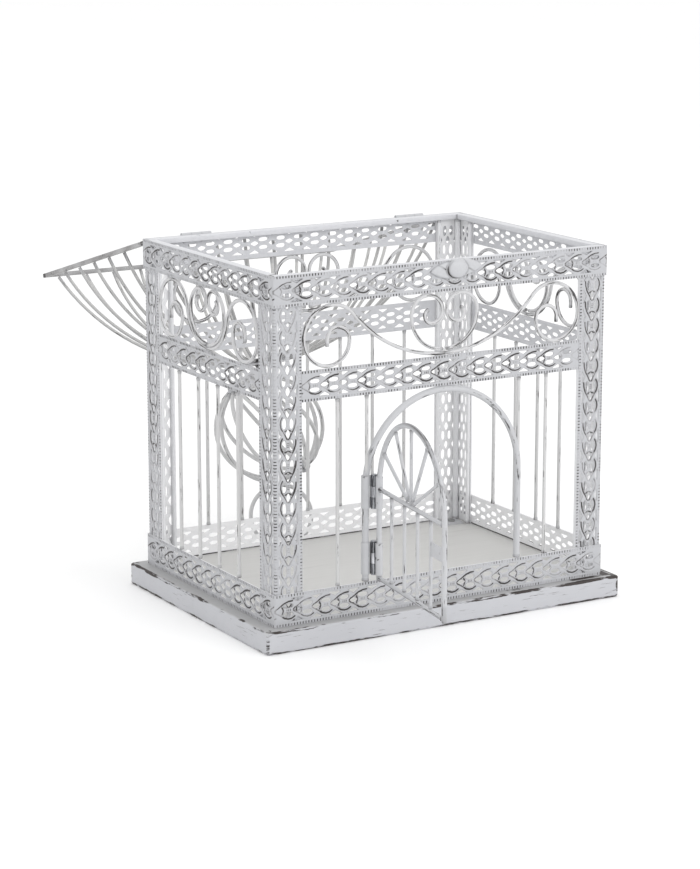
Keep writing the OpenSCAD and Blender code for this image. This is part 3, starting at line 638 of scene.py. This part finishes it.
def board_material():
    """Painted wood: faint grain, a warmer floor inside the cage, painted shade on the ledge outside it, dark
    wood showing through the worn edges.
    """
    t = Tree("board_paint")
    place = t.add("TexCoord", {}, out="Object")
    edge = t.add("Attribute", {}, out="Fac", attribute_name="crevice")
    grain = t.noise(t.stretch(place, (14, 260, 420)), 1.0, 4, 0.6)
    chips = t.noise(t.stretch(place, (55, 55, 420)), 1.0, 4, 0.6)
    patch = t.noise(place, 9.0, 2)
    beside = []
    for axis, half in (("X", HALF_W), ("Y", HALF_D)):
        away = t.math("ABSOLUTE", t.add("SeparateXYZ", {0: place}, out=axis))
        beside.append(t.step(away, half * MM - 0.001, half * MM))
    outside = t.math("MAXIMUM", *beside)
    gate = t.math("ADD", t.math("MULTIPLY", edge, 0.33), t.math("MULTIPLY", chips, 0.75))
    gate = t.math("ADD", gate, t.math("MULTIPLY", t.math("SUBTRACT", patch, 0.5), 0.5))
    worn = t.math("MULTIPLY", t.step(gate, 0.66, 0.74), outside)
    lines = t.math("MULTIPLY", t.step(grain, 0.60, 0.74), 0.22)
    up = t.add("SeparateXYZ", {0: t.add("NewGeometry", {}, out="Normal")}, out="Z")
    top = t.step(up, 0.5, 0.95)
    # the ledge outside the cage takes a darker tone as painted shade
    tone = t.blend(top, BOARD_SIDE, t.blend(outside, BOARD_FLOOR, BOARD_LEDGE_SHADED))
    tone = t.blend(lines, tone, BOARD_GRAIN)
    dashes = t.step(t.noise(t.stretch(place, (45, 45, 900)), 1.0, 5, 0.65), 0.63, 0.68)
    on_side = t.math("MULTIPLY", t.math("SUBTRACT", 1.0, top), 0.6)
    worn = t.math("MAXIMUM", worn, t.math("MULTIPLY", dashes, on_side))
    colour = t.blend(worn, tone, DARK_WOOD)
    rough = t.add("MapRange", {0: grain, 1: 0.3, 2: 0.7, 3: 0.45, 4: 0.62})
    height = t.math("SUBTRACT", t.math("MULTIPLY", grain, 0.6), worn)
    return t.done(colour, rough, height, 0.0002)


def steel_material(name, tint, painted):
    """Bright hinge steel with brushed lines and patches of the white paint."""
    t = Tree(name)
    place = t.add("TexCoord", {}, out="Object")
    brushed = t.noise(t.stretch(place, (900, 900, 160)), 1.0, 3)
    patch = t.step(t.noise(place, 160.0, 3), painted, painted + 0.06)
    colour = t.blend(brushed, tint, tuple(0.45 * c for c in tint[:3]) + (1,))
    colour = t.blend(patch, colour, LIGHT_PAINT)
    rough = t.add("MapRange", {0: brushed, 1: 0.3, 2: 0.7, 3: 0.22, 4: 0.4})
    return t.done(colour, rough, brushed, 0.00005, 0.5, t.math("SUBTRACT", 1.0, patch))


def hinge_material(name, joint, radius, dark, bright):
    """Painted leaves with bare, dark steel barrels about the joint's axis, brushed, with painted reflections
    in dark and bright bands along it.
    """
    t = Tree(name)
    place = t.add("TexCoord", {}, out="Object")
    across = Vector([1 - abs(a) for a in joint["axis"]])
    flat = t.stretch(place, across)
    centre = Vector([a * p for a, p in zip(across, joint["pos_m"])])
    reach = t.add("VectorMath", {0: flat, 1: centre}, out="Value", operation="DISTANCE")
    barrel = t.math("SUBTRACT", 1.0, t.step(reach, radius, radius + 0.0002))
    brushed = t.noise(t.stretch(place, across * 1100 + Vector(joint["axis"]) * 60), 1.0, 3)
    worn = t.step(t.noise(place, 170.0, 4), 0.60, 0.68)
    # brushed bands of painted reflection, from the dark to the bright tone
    steel = t.blend(t.step(brushed, 0.38, 0.62), dark, bright)
    paint = t.blend(t.math("MULTIPLY", worn, 0.8), t.blend(brushed, DOOR_LIGHT, DOOR_COOL), BARE_DARK)
    rough = t.add("MapRange", {0: barrel, 1: 0.0, 2: 1.0, 3: 0.45, 4: 0.24})
    return t.done(t.blend(barrel, paint, steel), rough, brushed, 0.00005, 0.5, barrel)


JOINTS = {joint["name"]: joint for joint in frame["joints"]}
BARREL_R = 3.1 * MM
FIXED_HINGE = hinge_material("door_hinge_fixed_metal", JOINTS["door_hinge"], BARREL_R,
                             BARREL_REFLECTION_DARK, BARREL_REFLECTION_GREY)
MOVING_HINGE = hinge_material("door_hinge_moving_metal", JOINTS["door_hinge"], BARREL_R,
                              KNUCKLE_REFLECTION_GREY, KNUCKLE_REFLECTION_BRIGHT)
BOARD = board_material()
STEEL = steel_material("hinge_steel", HINGE_STEEL, 0.62)
SCREW = steel_material("screw_steel", SCREW_STEEL, 0.58)


# The cage

BOARD_ROUND, BAR_ROUND = 1.6, 0.6      # rounding of the board's edges and of the flat bars
SEAM = 0.1                             # between the strips that meet at a corner

board = Shape()
slab(board, *span("base_board"), BOARD_ROUND, step=3.0, edge=1.0, corner=0.96, jitter=0.35, seed=1.0)
board.make("painted_board", ["base_board"], "cage", "board", BOARD)

for side in WALLS:
    long_wall = side in ("front", "back")
    half = HALF_W if long_wall else HALF_D
    full = 2 * half if long_wall else 2 * (half - STRIP_T) - 2 * SEAM
    between_trims = 2 * (half - TRIM_EDGE - WELD_GAP)
    band("top_band", side, full, BAND_Z, TOP_Z, 0.0, long_wall, RUBBED_BACK)
    band("foot_band", side, full, FOOT_Z, FOOT_TOP, 0.0, long_wall, FOOT_BACK)
    band("mid_band", side, between_trims, MID_Z, MID_TOP, PROUD, False, RUBBED_BACK)
    low, high = span(f"rim_bar_{side}")
    rim = Shape()
    slab(rim, low, high, BAR_ROUND, (1, 2, 0) if long_wall else (2, 0, 1), seed=3.1 + half / 50, edge=0.55)
    rim.make(f"rim_bar_{side}_flat", [f"rim_bar_{side}"], "cage", "paint", PAINT)

for corner in CORNERS:
    corner_trim(corner)


def s_scroll(left, low, high):
    """One long S of wire from the middle of a wall to the coil at its left end."""
    r_top, r_left, r_low, r_right, r_end, r_tail = (k * high for k in (0.54, 0.46, 0.40, 0.22, 0.20, 0.52))
    tail_x, end = -0.2, 0.10 * high
    run = tail_x - left - r_top
    turn = 2 * math.degrees(math.atan(high / run))
    r_sweep = run / math.sin(math.radians(turn)) - r_tail
    coil_x = left + r_left + r_low - r_right
    coil_z = low + r_low + r_right - r_end
    return chain(
        arc(tail_x, low + r_sweep, r_sweep, 270, 270 - turn, 3),
        arc(left + r_top, low + high - r_tail, r_tail, 90 - turn, 90),
        arc(left + r_top, low + r_left, r_top, 90, 180),
        arc(left + r_left, low + r_left, r_left, 180, 270),
        arc(left + r_left, low + r_low, r_low, 270, 360),
        arc(coil_x, low + r_low, r_right, 0, 90),
        arc(coil_x, coil_z, r_end, 90, 180),
        [(coil_x - r_end, coil_z - end * k) for k in (0.25, 0.6, 0.85, 1.0)])


def volute(low, high, wide):
    """The small coil left of a wall's middle."""
    x = -1.9
    r_foot = wide * high
    r_top = high - r_foot
    r_mid = r_foot - r_top
    r_low, r_left, r_end = (k * high for k in (0.22, 0.15, 0.11))
    mid = low + high - r_mid
    coil_z = mid - r_low + r_left
    return chain(
        arc(x - r_low - r_left + r_end, coil_z, r_end, 110, 180, 12),
        arc(x - r_low, coil_z, r_left, 180, 270),
        arc(x - r_low, mid, r_low, 270, 360),
        arc(x - r_mid, mid, r_mid, 0, 90),
        arc(x - r_mid, low + r_foot, r_top, 90, 180),
        arc(x, low + r_foot, r_foot, 180, 270))


SLEEVE = 0.2                                   # the CAD's bends are joined by sleeves this thick
SCROLL_LOW = MID_TOP + WELD_GAP + WIRE_R + SLEEVE
SCROLL_H = BAND_Z - WELD_GAP - WIRE_R - SLEEVE - SCROLL_LOW
VOLUTE_UP = 3.4                                # the volutes stand this far above the scrolls' feet
LONG_FOOT, SHORT_FOOT = 0.65, 0.6              # a volute's foot arc against its height, by the wall
BAR_LOW, BAR_HIGH = FOOT_TOP + WELD_GAP, MID_Z - WELD_GAP
LONG_BARS = [32 * k for k in range(-3, 4)]
SIDE_BARS = [33 * (k - 1.5) for k in range(4)]
BARS = {"front": (LONG_BARS[0], LONG_BARS[-1]), "back": LONG_BARS, "left": SIDE_BARS, "right": SIDE_BARS}
ARCH_R, ARCH_ROD = 70.5, 2.65
ARCH_SPRING = MID_Z - WELD_GAP - ARCH_ROD - ARCH_R
ARCH_Y = -HALF_D + ARCH_ROD
SHORT_BARS, SHORT_UP = (-70.0, 70.0), 9.0      # bars that start on the arch, this far above its spring

for n, side in enumerate(WALLS):
    long_wall = side in ("front", "back")
    left = (-HALF_W if long_wall else -HALF_D) + TRIM_EDGE + WELD_GAP + WIRE_R + SLEEVE
    scrolls, bars = Shape(), Shape()
    drawn = (s_scroll(left, SCROLL_LOW, SCROLL_H),
             volute(SCROLL_LOW + VOLUTE_UP, SCROLL_H - VOLUTE_UP, LONG_FOOT if long_wall else SHORT_FOOT))
    for k, path in enumerate(drawn):
        for flip in (1, -1):
            wire = [(flip * x, WIRE_IN, z) for x, z in path]
            tube(scrolls, wire, WIRE_R, n * 2.1 + k + 0.4 * flip, weld=0.1)
    scrolls.make(f"scrolls_{side}_wire", [f"scrolls_{side}"], "cage", "paint", WIRE, wall(side))
    for k, x in enumerate(BARS[side]):
        tube(bars, rod_path((x, WIRE_IN, BAR_LOW), (x, WIRE_IN, BAR_HIGH)), WIRE_R, n * 3.3 + k * 0.77)
    if side == "front":
        for x in SHORT_BARS:
            start = ARCH_SPRING + SHORT_UP
            tube(bars, rod_path((x, WIRE_IN, start), (x, WIRE_IN, BAR_HIGH)), WIRE_R, 9.1 + x / 90)
    bars.make(f"wall_bars_{side}_wire", [f"wall_bars_{side}"], "cage", "paint", BAR, wall(side))

arch = Shape()
leg = (BAR_LOW, BAR_LOW + 0.6, BAR_LOW + 1.5, BAR_LOW + 3, 60, 80, 100)
arch_path = chain([(-ARCH_R, z) for z in leg],
                  arc(0, ARCH_SPRING, ARCH_R, 180, 0, 4),
                  [(ARCH_R, z) for z in reversed(leg)])
tube(arch, [(x, ARCH_Y, z) for x, z in arch_path], ARCH_ROD, 4.4, sides=16, weld=0.15)
arch.make("door_arch_rod", ["door_arch"], "cage", "paint", DOOR)


# The rosette: a round boss on a collar of petals, between two leaves

ros_low, ros_high = span("rosette")
ROS_X, ROS_Z = (ros_low[0] + ros_high[0]) / 2, (ros_low[2] + ros_high[2]) / 2
ROS_A, ROS_B = (ros_high[0] - ros_low[0]) / 2, (ros_high[2] - ros_low[2]) / 2
ROS_T = ros_high[1] - ros_low[1]
BOSS_A, BOSS_B = 8.4, 7.0
LEAF_FROM = 0.55 * BOSS_A


def leaf_place(x, y):
    """Along (0 to 1) and across (-1 to 1) the leaf on this side of the boss."""
    along = (np.abs(x) - LEAF_FROM) / (ROS_A - LEAF_FROM)
    return along, (y - 0.9 * np.sign(x)) / (0.86 * ROS_B)


def boss_edge(x, y):
    """How far (x, y) lies inside the boss."""
    return (1 - np.hypot(x / BOSS_A, y / BOSS_B)) * BOSS_B


def collar_edge(x, y):
    """How far (x, y) lies inside the collar of petals, which has a scalloped edge."""
    spin = np.arctan2(y / BOSS_B, x / BOSS_A)
    return 1.12 * BOSS_B + 0.5 * np.abs(np.cos(3 * spin)) - np.hypot(x * BOSS_B / BOSS_A, y)


def leaf_edge(x, y):
    """How far (x, y) lies inside a leaf."""
    along, across = leaf_place(x, y)
    half = np.cos(np.clip(along, 0, 1) * math.pi / 2) ** 0.7
    return np.minimum(half - np.abs(across), np.minimum(along + 0.4, 1 - along)) * ROS_B * 0.8


def rosette_solid(x, y):
    """How far (x, y) lies inside the rosette's outline."""
    return np.maximum(collar_edge(x, y), leaf_edge(x, y))


def rosette_dark_and_shadow(x, y):
    """Painted shadow under the boss at its lower left, and dark in a fold of each leaf and where the collar
    meets the leaves.
    """
    along, across = leaf_place(x, y)
    lower_left = np.clip(0.35 - 0.5 * (x / BOSS_A + y / BOSS_B), 0, 1)
    # painted shadow just outside the boss's edge, on its lower left
    under = lower_left * np.exp(-((boss_edge(x, y) + 0.3) / 0.45) ** 2)
    fold = np.exp(-(np.abs(across - 1.6 * np.sign(x) * (0.22 - along)) * ROS_B / 0.7) ** 2)
    fold = np.where(collar_edge(x, y) > 0, 0.0, fold * np.clip(1.2 - 1.5 * along, 0, 1))
    seat = 0.8 * np.exp(-((collar_edge(x, y) + 0.2) / 0.4) ** 2) * np.clip(np.abs(x) / BOSS_A - 0.6, 0, 1)
    return np.maximum(np.maximum(under, fold), seat)


def rosette_front(x, y):
    """Height of the rosette's front over its back."""
    dome = np.sqrt(np.clip(boss_edge(x, y) / BOSS_B * (2 - boss_edge(x, y) / BOSS_B), 0, 1))
    along, across = leaf_place(x, y)
    leaf = 0.22 + 0.16 * np.clip(1 - across ** 2, 0, 1) + 0.03 * np.cos(9 * (along + 0.5 * np.abs(across)))
    collar = 0.34 + 0.10 * np.clip(collar_edge(x, y), 0, 1)
    high = np.where(collar_edge(x, y) > 0, collar, leaf * (0.5 + 0.5 * np.clip(leaf_edge(x, y) / 0.8, 0, 1)))
    high = np.where(boss_edge(x, y) > 0, 0.45 + 0.55 * dome, high)
    return np.clip(high * ROS_T - 0.40 * rosette_dark_and_shadow(x, y), 0.3, ROS_T)


rosette = Shape()
relief(rosette, np.linspace(-ROS_A, ROS_A, 120), np.linspace(-ROS_B, ROS_B, 48), rosette_solid, rosette_front,
       lambda x, y: np.clip(rosette_dark_and_shadow(x, y) * 1.1, 0, 1),
       lambda x, y, w: np.column_stack([x + ROS_X, ros_high[1] - w, y + ROS_Z]), 6.2, 0.2)
rosette.make("rosette_flower", ["rosette"], "cage", "paint", FLOWER, sharp=70)


# The screws that hold the cage to the board

SCREW_R, SLOT_HALF, SLOT_DEEP = 3.2, 0.45, 1.0
HEAD_T, HEAD_CROWN = 2.0, 0.9
head_x, head_y, head_top = span("base_screws")[1]


def screw_head(shape, x_at, y_at, spin, seed):
    """A slotted screw head with a crowned top."""
    grid = np.linspace(-SCREW_R, SCREW_R, 33)

    def slotted(x, y):
        return np.abs(x * math.sin(spin) - y * math.cos(spin)) < SLOT_HALF

    def front(x, y):
        flat = np.where(slotted(x, y), HEAD_T - SLOT_DEEP, HEAD_T)
        return flat - HEAD_CROWN * (np.hypot(x, y) / SCREW_R) ** 2

    def place(x, y, w):
        return np.column_stack([x + x_at, y + y_at, head_top - HEAD_T + w])

    relief(shape, grid, grid, lambda x, y: SCREW_R - 0.05 - np.hypot(x, y), front,
           lambda x, y: np.where(slotted(x, y), 0.9, 0.1), place, seed)


screws = Shape()
for k, (sx, sy) in enumerate(((-1, -1), (1, -1), (1, 1), (-1, 1))):
    screw_head(screws, sx * (head_x - SCREW_R), sy * (head_y - SCREW_R), 0.5 + 1.1 * k, k)
screws.make("base_screws_slotted", ["base_screws"], "cage", "screw", SCREW, sharp=40)


# The door, drawn closed

DOOR_LEFT, DOOR_RIGHT, DOOR_Y = -58.079, 64.85, ARCH_Y         # centre lines of its frame
DOOR_FOOT, DOOR_BOTTOM, DOOR_SPRING = 44.5, 47.0, 118.2        # end of its legs, and the two rails
DOOR_R, DOOR_MID = (DOOR_RIGHT - DOOR_LEFT) / 2, (DOOR_RIGHT + DOOR_LEFT) / 2
DOOR_ROD, RAIL_R, BAR_R = 2.1, 1.8, 1.4
DOOR_BARS = 4
RAYS = ((0, 1.9), (-30, 6.16), (30, 6.16), (-60, 6.9), (60, 6.9))      # lean and start of each ray
RAY_END = DOOR_R - DOOR_ROD - WELD_GAP / 2

door = Shape()
leg = (DOOR_FOOT, DOOR_FOOT + 1, 60, 80, 100)
door_path = chain([(DOOR_LEFT, z) for z in leg],
                  arc(DOOR_MID, DOOR_SPRING, DOOR_R, 180, 0, 4),
                  [(DOOR_RIGHT, z) for z in reversed(leg)])
tube(door, [(x, DOOR_Y, z) for x, z in door_path], DOOR_ROD, 2.3, sides=14, weld=0.0,
     dark_side=worn_and_shaded_side((0.2, -0.5, 0.8)))
door.make("door_frame_rod", ["door_frame"], "door", "paint", DOOR)

rails = Shape()
for k, z in enumerate((DOOR_BOTTOM, DOOR_SPRING)):
    rail = rod_path((DOOR_LEFT + DOOR_ROD, DOOR_Y, z), (DOOR_RIGHT - DOOR_ROD, DOOR_Y, z))
    # the rails' dark undersides: worn metal with painted shade
    tube(rails, rail, RAIL_R, 1.9 + k * 3.7, dark_side=worn_and_shaded_side((0, -0.6, -0.8), 0.80))
rails.make("door_rails_rod", ["door_rails"], "door", "paint", DOOR)

bars = Shape()
for k in range(DOOR_BARS):
    x = DOOR_LEFT + (k + 1) * 2 * DOOR_R / (DOOR_BARS + 1)
    bar = rod_path((x, DOOR_Y, DOOR_BOTTOM + RAIL_R), (x, DOOR_Y, DOOR_SPRING - RAIL_R))
    tube(bars, bar, BAR_R, 5.2 + k * 1.9)
bars.make("door_bars_rod", ["door_bars"], "door", "paint", DOOR)

rays = Shape()
for k, (lean, start) in enumerate(RAYS):
    s, c = math.sin(math.radians(lean)), math.cos(math.radians(lean))
    ends = [(DOOR_MID + u * s, DOOR_Y, DOOR_SPRING + u * c) for u in (start, RAY_END)]
    tube(rays, rod_path(*ends), BAR_R, 8.5 + k)
rays.make("door_rays_rod", ["door_rays"], "door", "paint", DOOR)


# The lid, drawn closed

LID_X, LID_Y = 147.7, 105.2            # half sizes of the frame
LID_LOW, LID_HIGH, LID_BAR = 290.8, 294.4, 4.5  # the frame's two faces, and the width of its bars
RIB_Z, RIB_R = 294.5, 1.4
RISE, CROWN = 102.0, 27.2              # height of the dome, and where its ribs end round the disc
RIB_X = [26.8 * k for k in range(-5, 6)]
RIB_Y = [31.0 * k for k in range(-2, 3)]
DISC_R, DISC_LOW, DISC_TOP, NECK_R, NECK_TOP = 27.0, 392.0, 396.5, 4.5, 404.0
ORB_Z, ORB_R, ORB_WIRE, ORB_TILT, BEAD_R = 452.7, 46.7, 1.8, 38.0, 6.0
HALF_HOOPS = 10
RING_Z, RING_R, RING_WIRE, RING_TURN = 529.9, 26.7, 1.8, 20.0
LAP, SUNK = 0.3, 0.02                  # the short bars run into the long ones and lie a hair inside them

lid_frame = Shape()
for k, s in enumerate((-1, 1)):
    y = sorted((s * LID_Y, s * (LID_Y - LID_BAR)))
    slab(lid_frame, (-LID_X, y[0], LID_LOW), (LID_X, y[1], LID_HIGH), BAR_ROUND, (1, 2, 0),
         seed=2.2 + k, edge=0.85, corner=0.4)
    x = sorted((s * LID_X, s * (LID_X - LID_BAR)))
    inner = LID_Y - LID_BAR + LAP
    slab(lid_frame, (x[0], -inner, LID_LOW + SUNK), (x[1], inner, LID_HIGH - SUNK), BAR_ROUND, (2, 0, 1),
         seed=5.2 + k, edge=0.85, corner=0.4)
lid_frame.make("lid_frame_flat", ["lid_frame"], "lid", "paint", LID)


def rib(x, y):
    """A rib from its foot on the lid's frame up to the disc at the apex."""
    reach = math.hypot(x, y)
    r = (reach ** 2 + RISE ** 2) / (2 * RISE)
    start = math.degrees(math.asin((r - RISE) / (r - RIB_R)))
    stop = math.degrees(math.acos(CROWN / (r - RIB_R)))
    return [(x * d / reach, y * d / reach, RIB_Z + z) for d, z in arc(0, RISE - r, r, start, stop, 3)]


FRAME_X, FRAME_Y = LID_X - LID_BAR / 2, LID_Y - LID_BAR / 2
FEET = {"front": [(x, -FRAME_Y) for x in RIB_X], "back": [(x, FRAME_Y) for x in RIB_X],
        "left": [(-FRAME_X, y) for y in RIB_Y], "right": [(FRAME_X, y) for y in RIB_Y]}
for n, (side, feet) in enumerate(FEET.items()):
    ribs = Shape()
    for k, (x, y) in enumerate(feet):
        # the ribs' dark lower left side at rest: worn metal with painted shade
        tube(ribs, rib(x, y), RIB_R, n * 4.1 + k * 0.9, weld=0.2, dark_side=worn_and_shaded_side((-0.8, 0, 0.6)))
    ribs.make(f"lid_ribs_{side}_wire", [f"lid_ribs_{side}"], "lid", "paint", LID)

apex = Shape()
lathe(apex, [(DISC_R - 1.8, DISC_LOW), (DISC_R - 0.5, DISC_LOW + 0.4), (DISC_R, DISC_LOW + 1.4),
             (DISC_R, DISC_TOP - 1.4), (DISC_R - 0.5, DISC_TOP - 0.4), (DISC_R - 1.8, DISC_TOP),
             (NECK_R + 3, DISC_TOP + 0.1), (NECK_R + 0.8, DISC_TOP + 0.6), (NECK_R, DISC_TOP + 1.8),
             (NECK_R, NECK_TOP - 0.6), (NECK_R - 0.6, NECK_TOP)],
      Matrix.Identity(4), seed=2.0, crevice=[0, .4, .6, .6, .4, 0, .2, .9, .6, .3, .3])
apex.make("lid_apex_turned", ["lid_apex_disc"], "lid", "paint", PAINT)

orb, beads = Shape(), Shape()
orb_place = Matrix.Translation((0, 0, ORB_Z)) @ Matrix.Rotation(math.radians(ORB_TILT), 4, "Y")
pole = math.degrees(math.asin((BEAD_R + WELD_GAP) / ORB_R))
for k in range(HALF_HOOPS):
    spin = Matrix.Rotation(2 * math.pi * k / HALF_HOOPS, 4, "Z")
    path = [orb_place @ spin @ Vector((x, 0, z)) for x, z in arc(0, 0, ORB_R, -90 + pole, 90 - pole, 5)]
    tube(orb, path, ORB_WIRE, 6.6 + k * 1.7, sides=12, weld=0.2)
orb.make("orb_wires_round", ["orb_wires"], "lid", "paint", BAR)
for s in (-1, 1):
    ball = arc(0, s * ORB_R, BEAD_R, -84, 84, 12)
    dark = [0.35 + 0.4 * (k % 7 == 3) for k in range(len(ball))]
    lathe(beads, ball, orb_place, dark, sides=24, seed=1.0 + s)
beads.make("orb_beads_round", ["orb_beads"], "lid", "paint", PAINT)

ring = Shape()
ring_turn = Matrix.Rotation(math.radians(RING_TURN), 4, "Z")
ring_path = [ring_turn @ Vector((x, 0, z)) + Vector((0, 0, RING_Z)) for x, z in arc(0, 0, RING_R, 0, 356, 4)]
tube(ring, ring_path, RING_WIRE, 3.9, sides=12, closed=True)
ring.make("finial_ring_round", ["finial_ring"], "lid", "paint", BAR)


# CAD pieces that keep their shape

KEPT = {"door_hinge_fixed_leaves": FIXED_HINGE, "door_hinge_moving_leaves": MOVING_HINGE,
        "lid_hinge_fixed_leaves": PLATE, "lid_hinge_moving_leaves": PLATE,
        "door_hinge_pins": STEEL, "lid_hinge_pins": STEEL,
        "door_catch_plate": PLATE, "corner_lugs": PLATE}
BEVEL = 0.2 * MM
for name, material in KEPT.items():
    node = frame["nodes"][name]
    node.data.materials.clear()
    node.data.materials.append(material)
    bevel = node.modifiers.new("soft_edges", "BEVEL")
    bevel.width, bevel.segments, bevel.limit_method = BEVEL, 2, "ANGLE"


# Floor, light and camera

CAMERA_AT = Vector((-1.1164, -1.8736, 0.6228))
AZIMUTH, ELEVATION, LENS = math.radians(-30.30), math.radians(12.69), 113.28
SENSOR = 36.0
FLOOR_HALF = 9
SKY = 1.04
BOX_MIDDLE = (0, 0, 0.2)

floor_mesh = bpy.data.meshes.new("floor")
floor_corners = [(x * FLOOR_HALF, y * FLOOR_HALF, 0) for x, y in ((-1, -1), (1, -1), (1, 1), (-1, 1))]
floor_mesh.from_pydata(floor_corners, [], [(0, 1, 2, 3)])
floor = bpy.data.objects.new("floor", floor_mesh)
bpy.context.scene.collection.objects.link(floor)
floor_paint = Tree("floor_paint")
mottle = floor_paint.noise(floor_paint.add("TexCoord", {}, out="Object"), 1.5)
floor_mesh.materials.append(floor_paint.done(
    floor_paint.blend(mottle, (0.97, 0.97, 0.97, 1), (0.95, 0.95, 0.95, 1)), 0.8))

world = bpy.data.worlds.new("studio")
bpy.context.scene.world = world
world.use_nodes = True
sky = world.node_tree.nodes["Background"]
sky.inputs["Color"].default_value = (1, 1, 1, 1)
sky.inputs["Strength"].default_value = SKY


def lamp(name, at, target, size, power):
    """A round soft light at a place, facing its target."""
    light = bpy.data.lights.new(name, "AREA")
    light.shape, light.size, light.energy = "DISK", size, power
    holder = bpy.data.objects.new(name, light)
    holder.location = at
    holder.rotation_euler = (Vector(target) - Vector(at)).to_track_quat("-Z", "Y").to_euler()
    bpy.context.scene.collection.objects.link(holder)


lamp("key", (0.9, -2.4, 1.5), BOX_MIDDLE, 1.6, 18)
lamp("top", (-0.2, 0.2, 2.6), BOX_MIDDLE, 2.0, 6)

camera = bpy.data.cameras.new("camera")
camera.lens, camera.sensor_width, camera.sensor_fit = LENS, SENSOR, "AUTO"
camera.clip_start, camera.clip_end = 0.05, 50
eye = bpy.data.objects.new("camera", camera)
eye.location = CAMERA_AT
level = math.cos(ELEVATION)
look = -Vector((math.sin(AZIMUTH) * level, -math.cos(AZIMUTH) * level, math.sin(ELEVATION)))
eye.rotation_euler = look.to_track_quat("-Z", "Y").to_euler()
bpy.context.scene.collection.objects.link(eye)
bpy.context.scene.camera = eye
bpy.context.scene.view_settings.view_transform = "Standard"
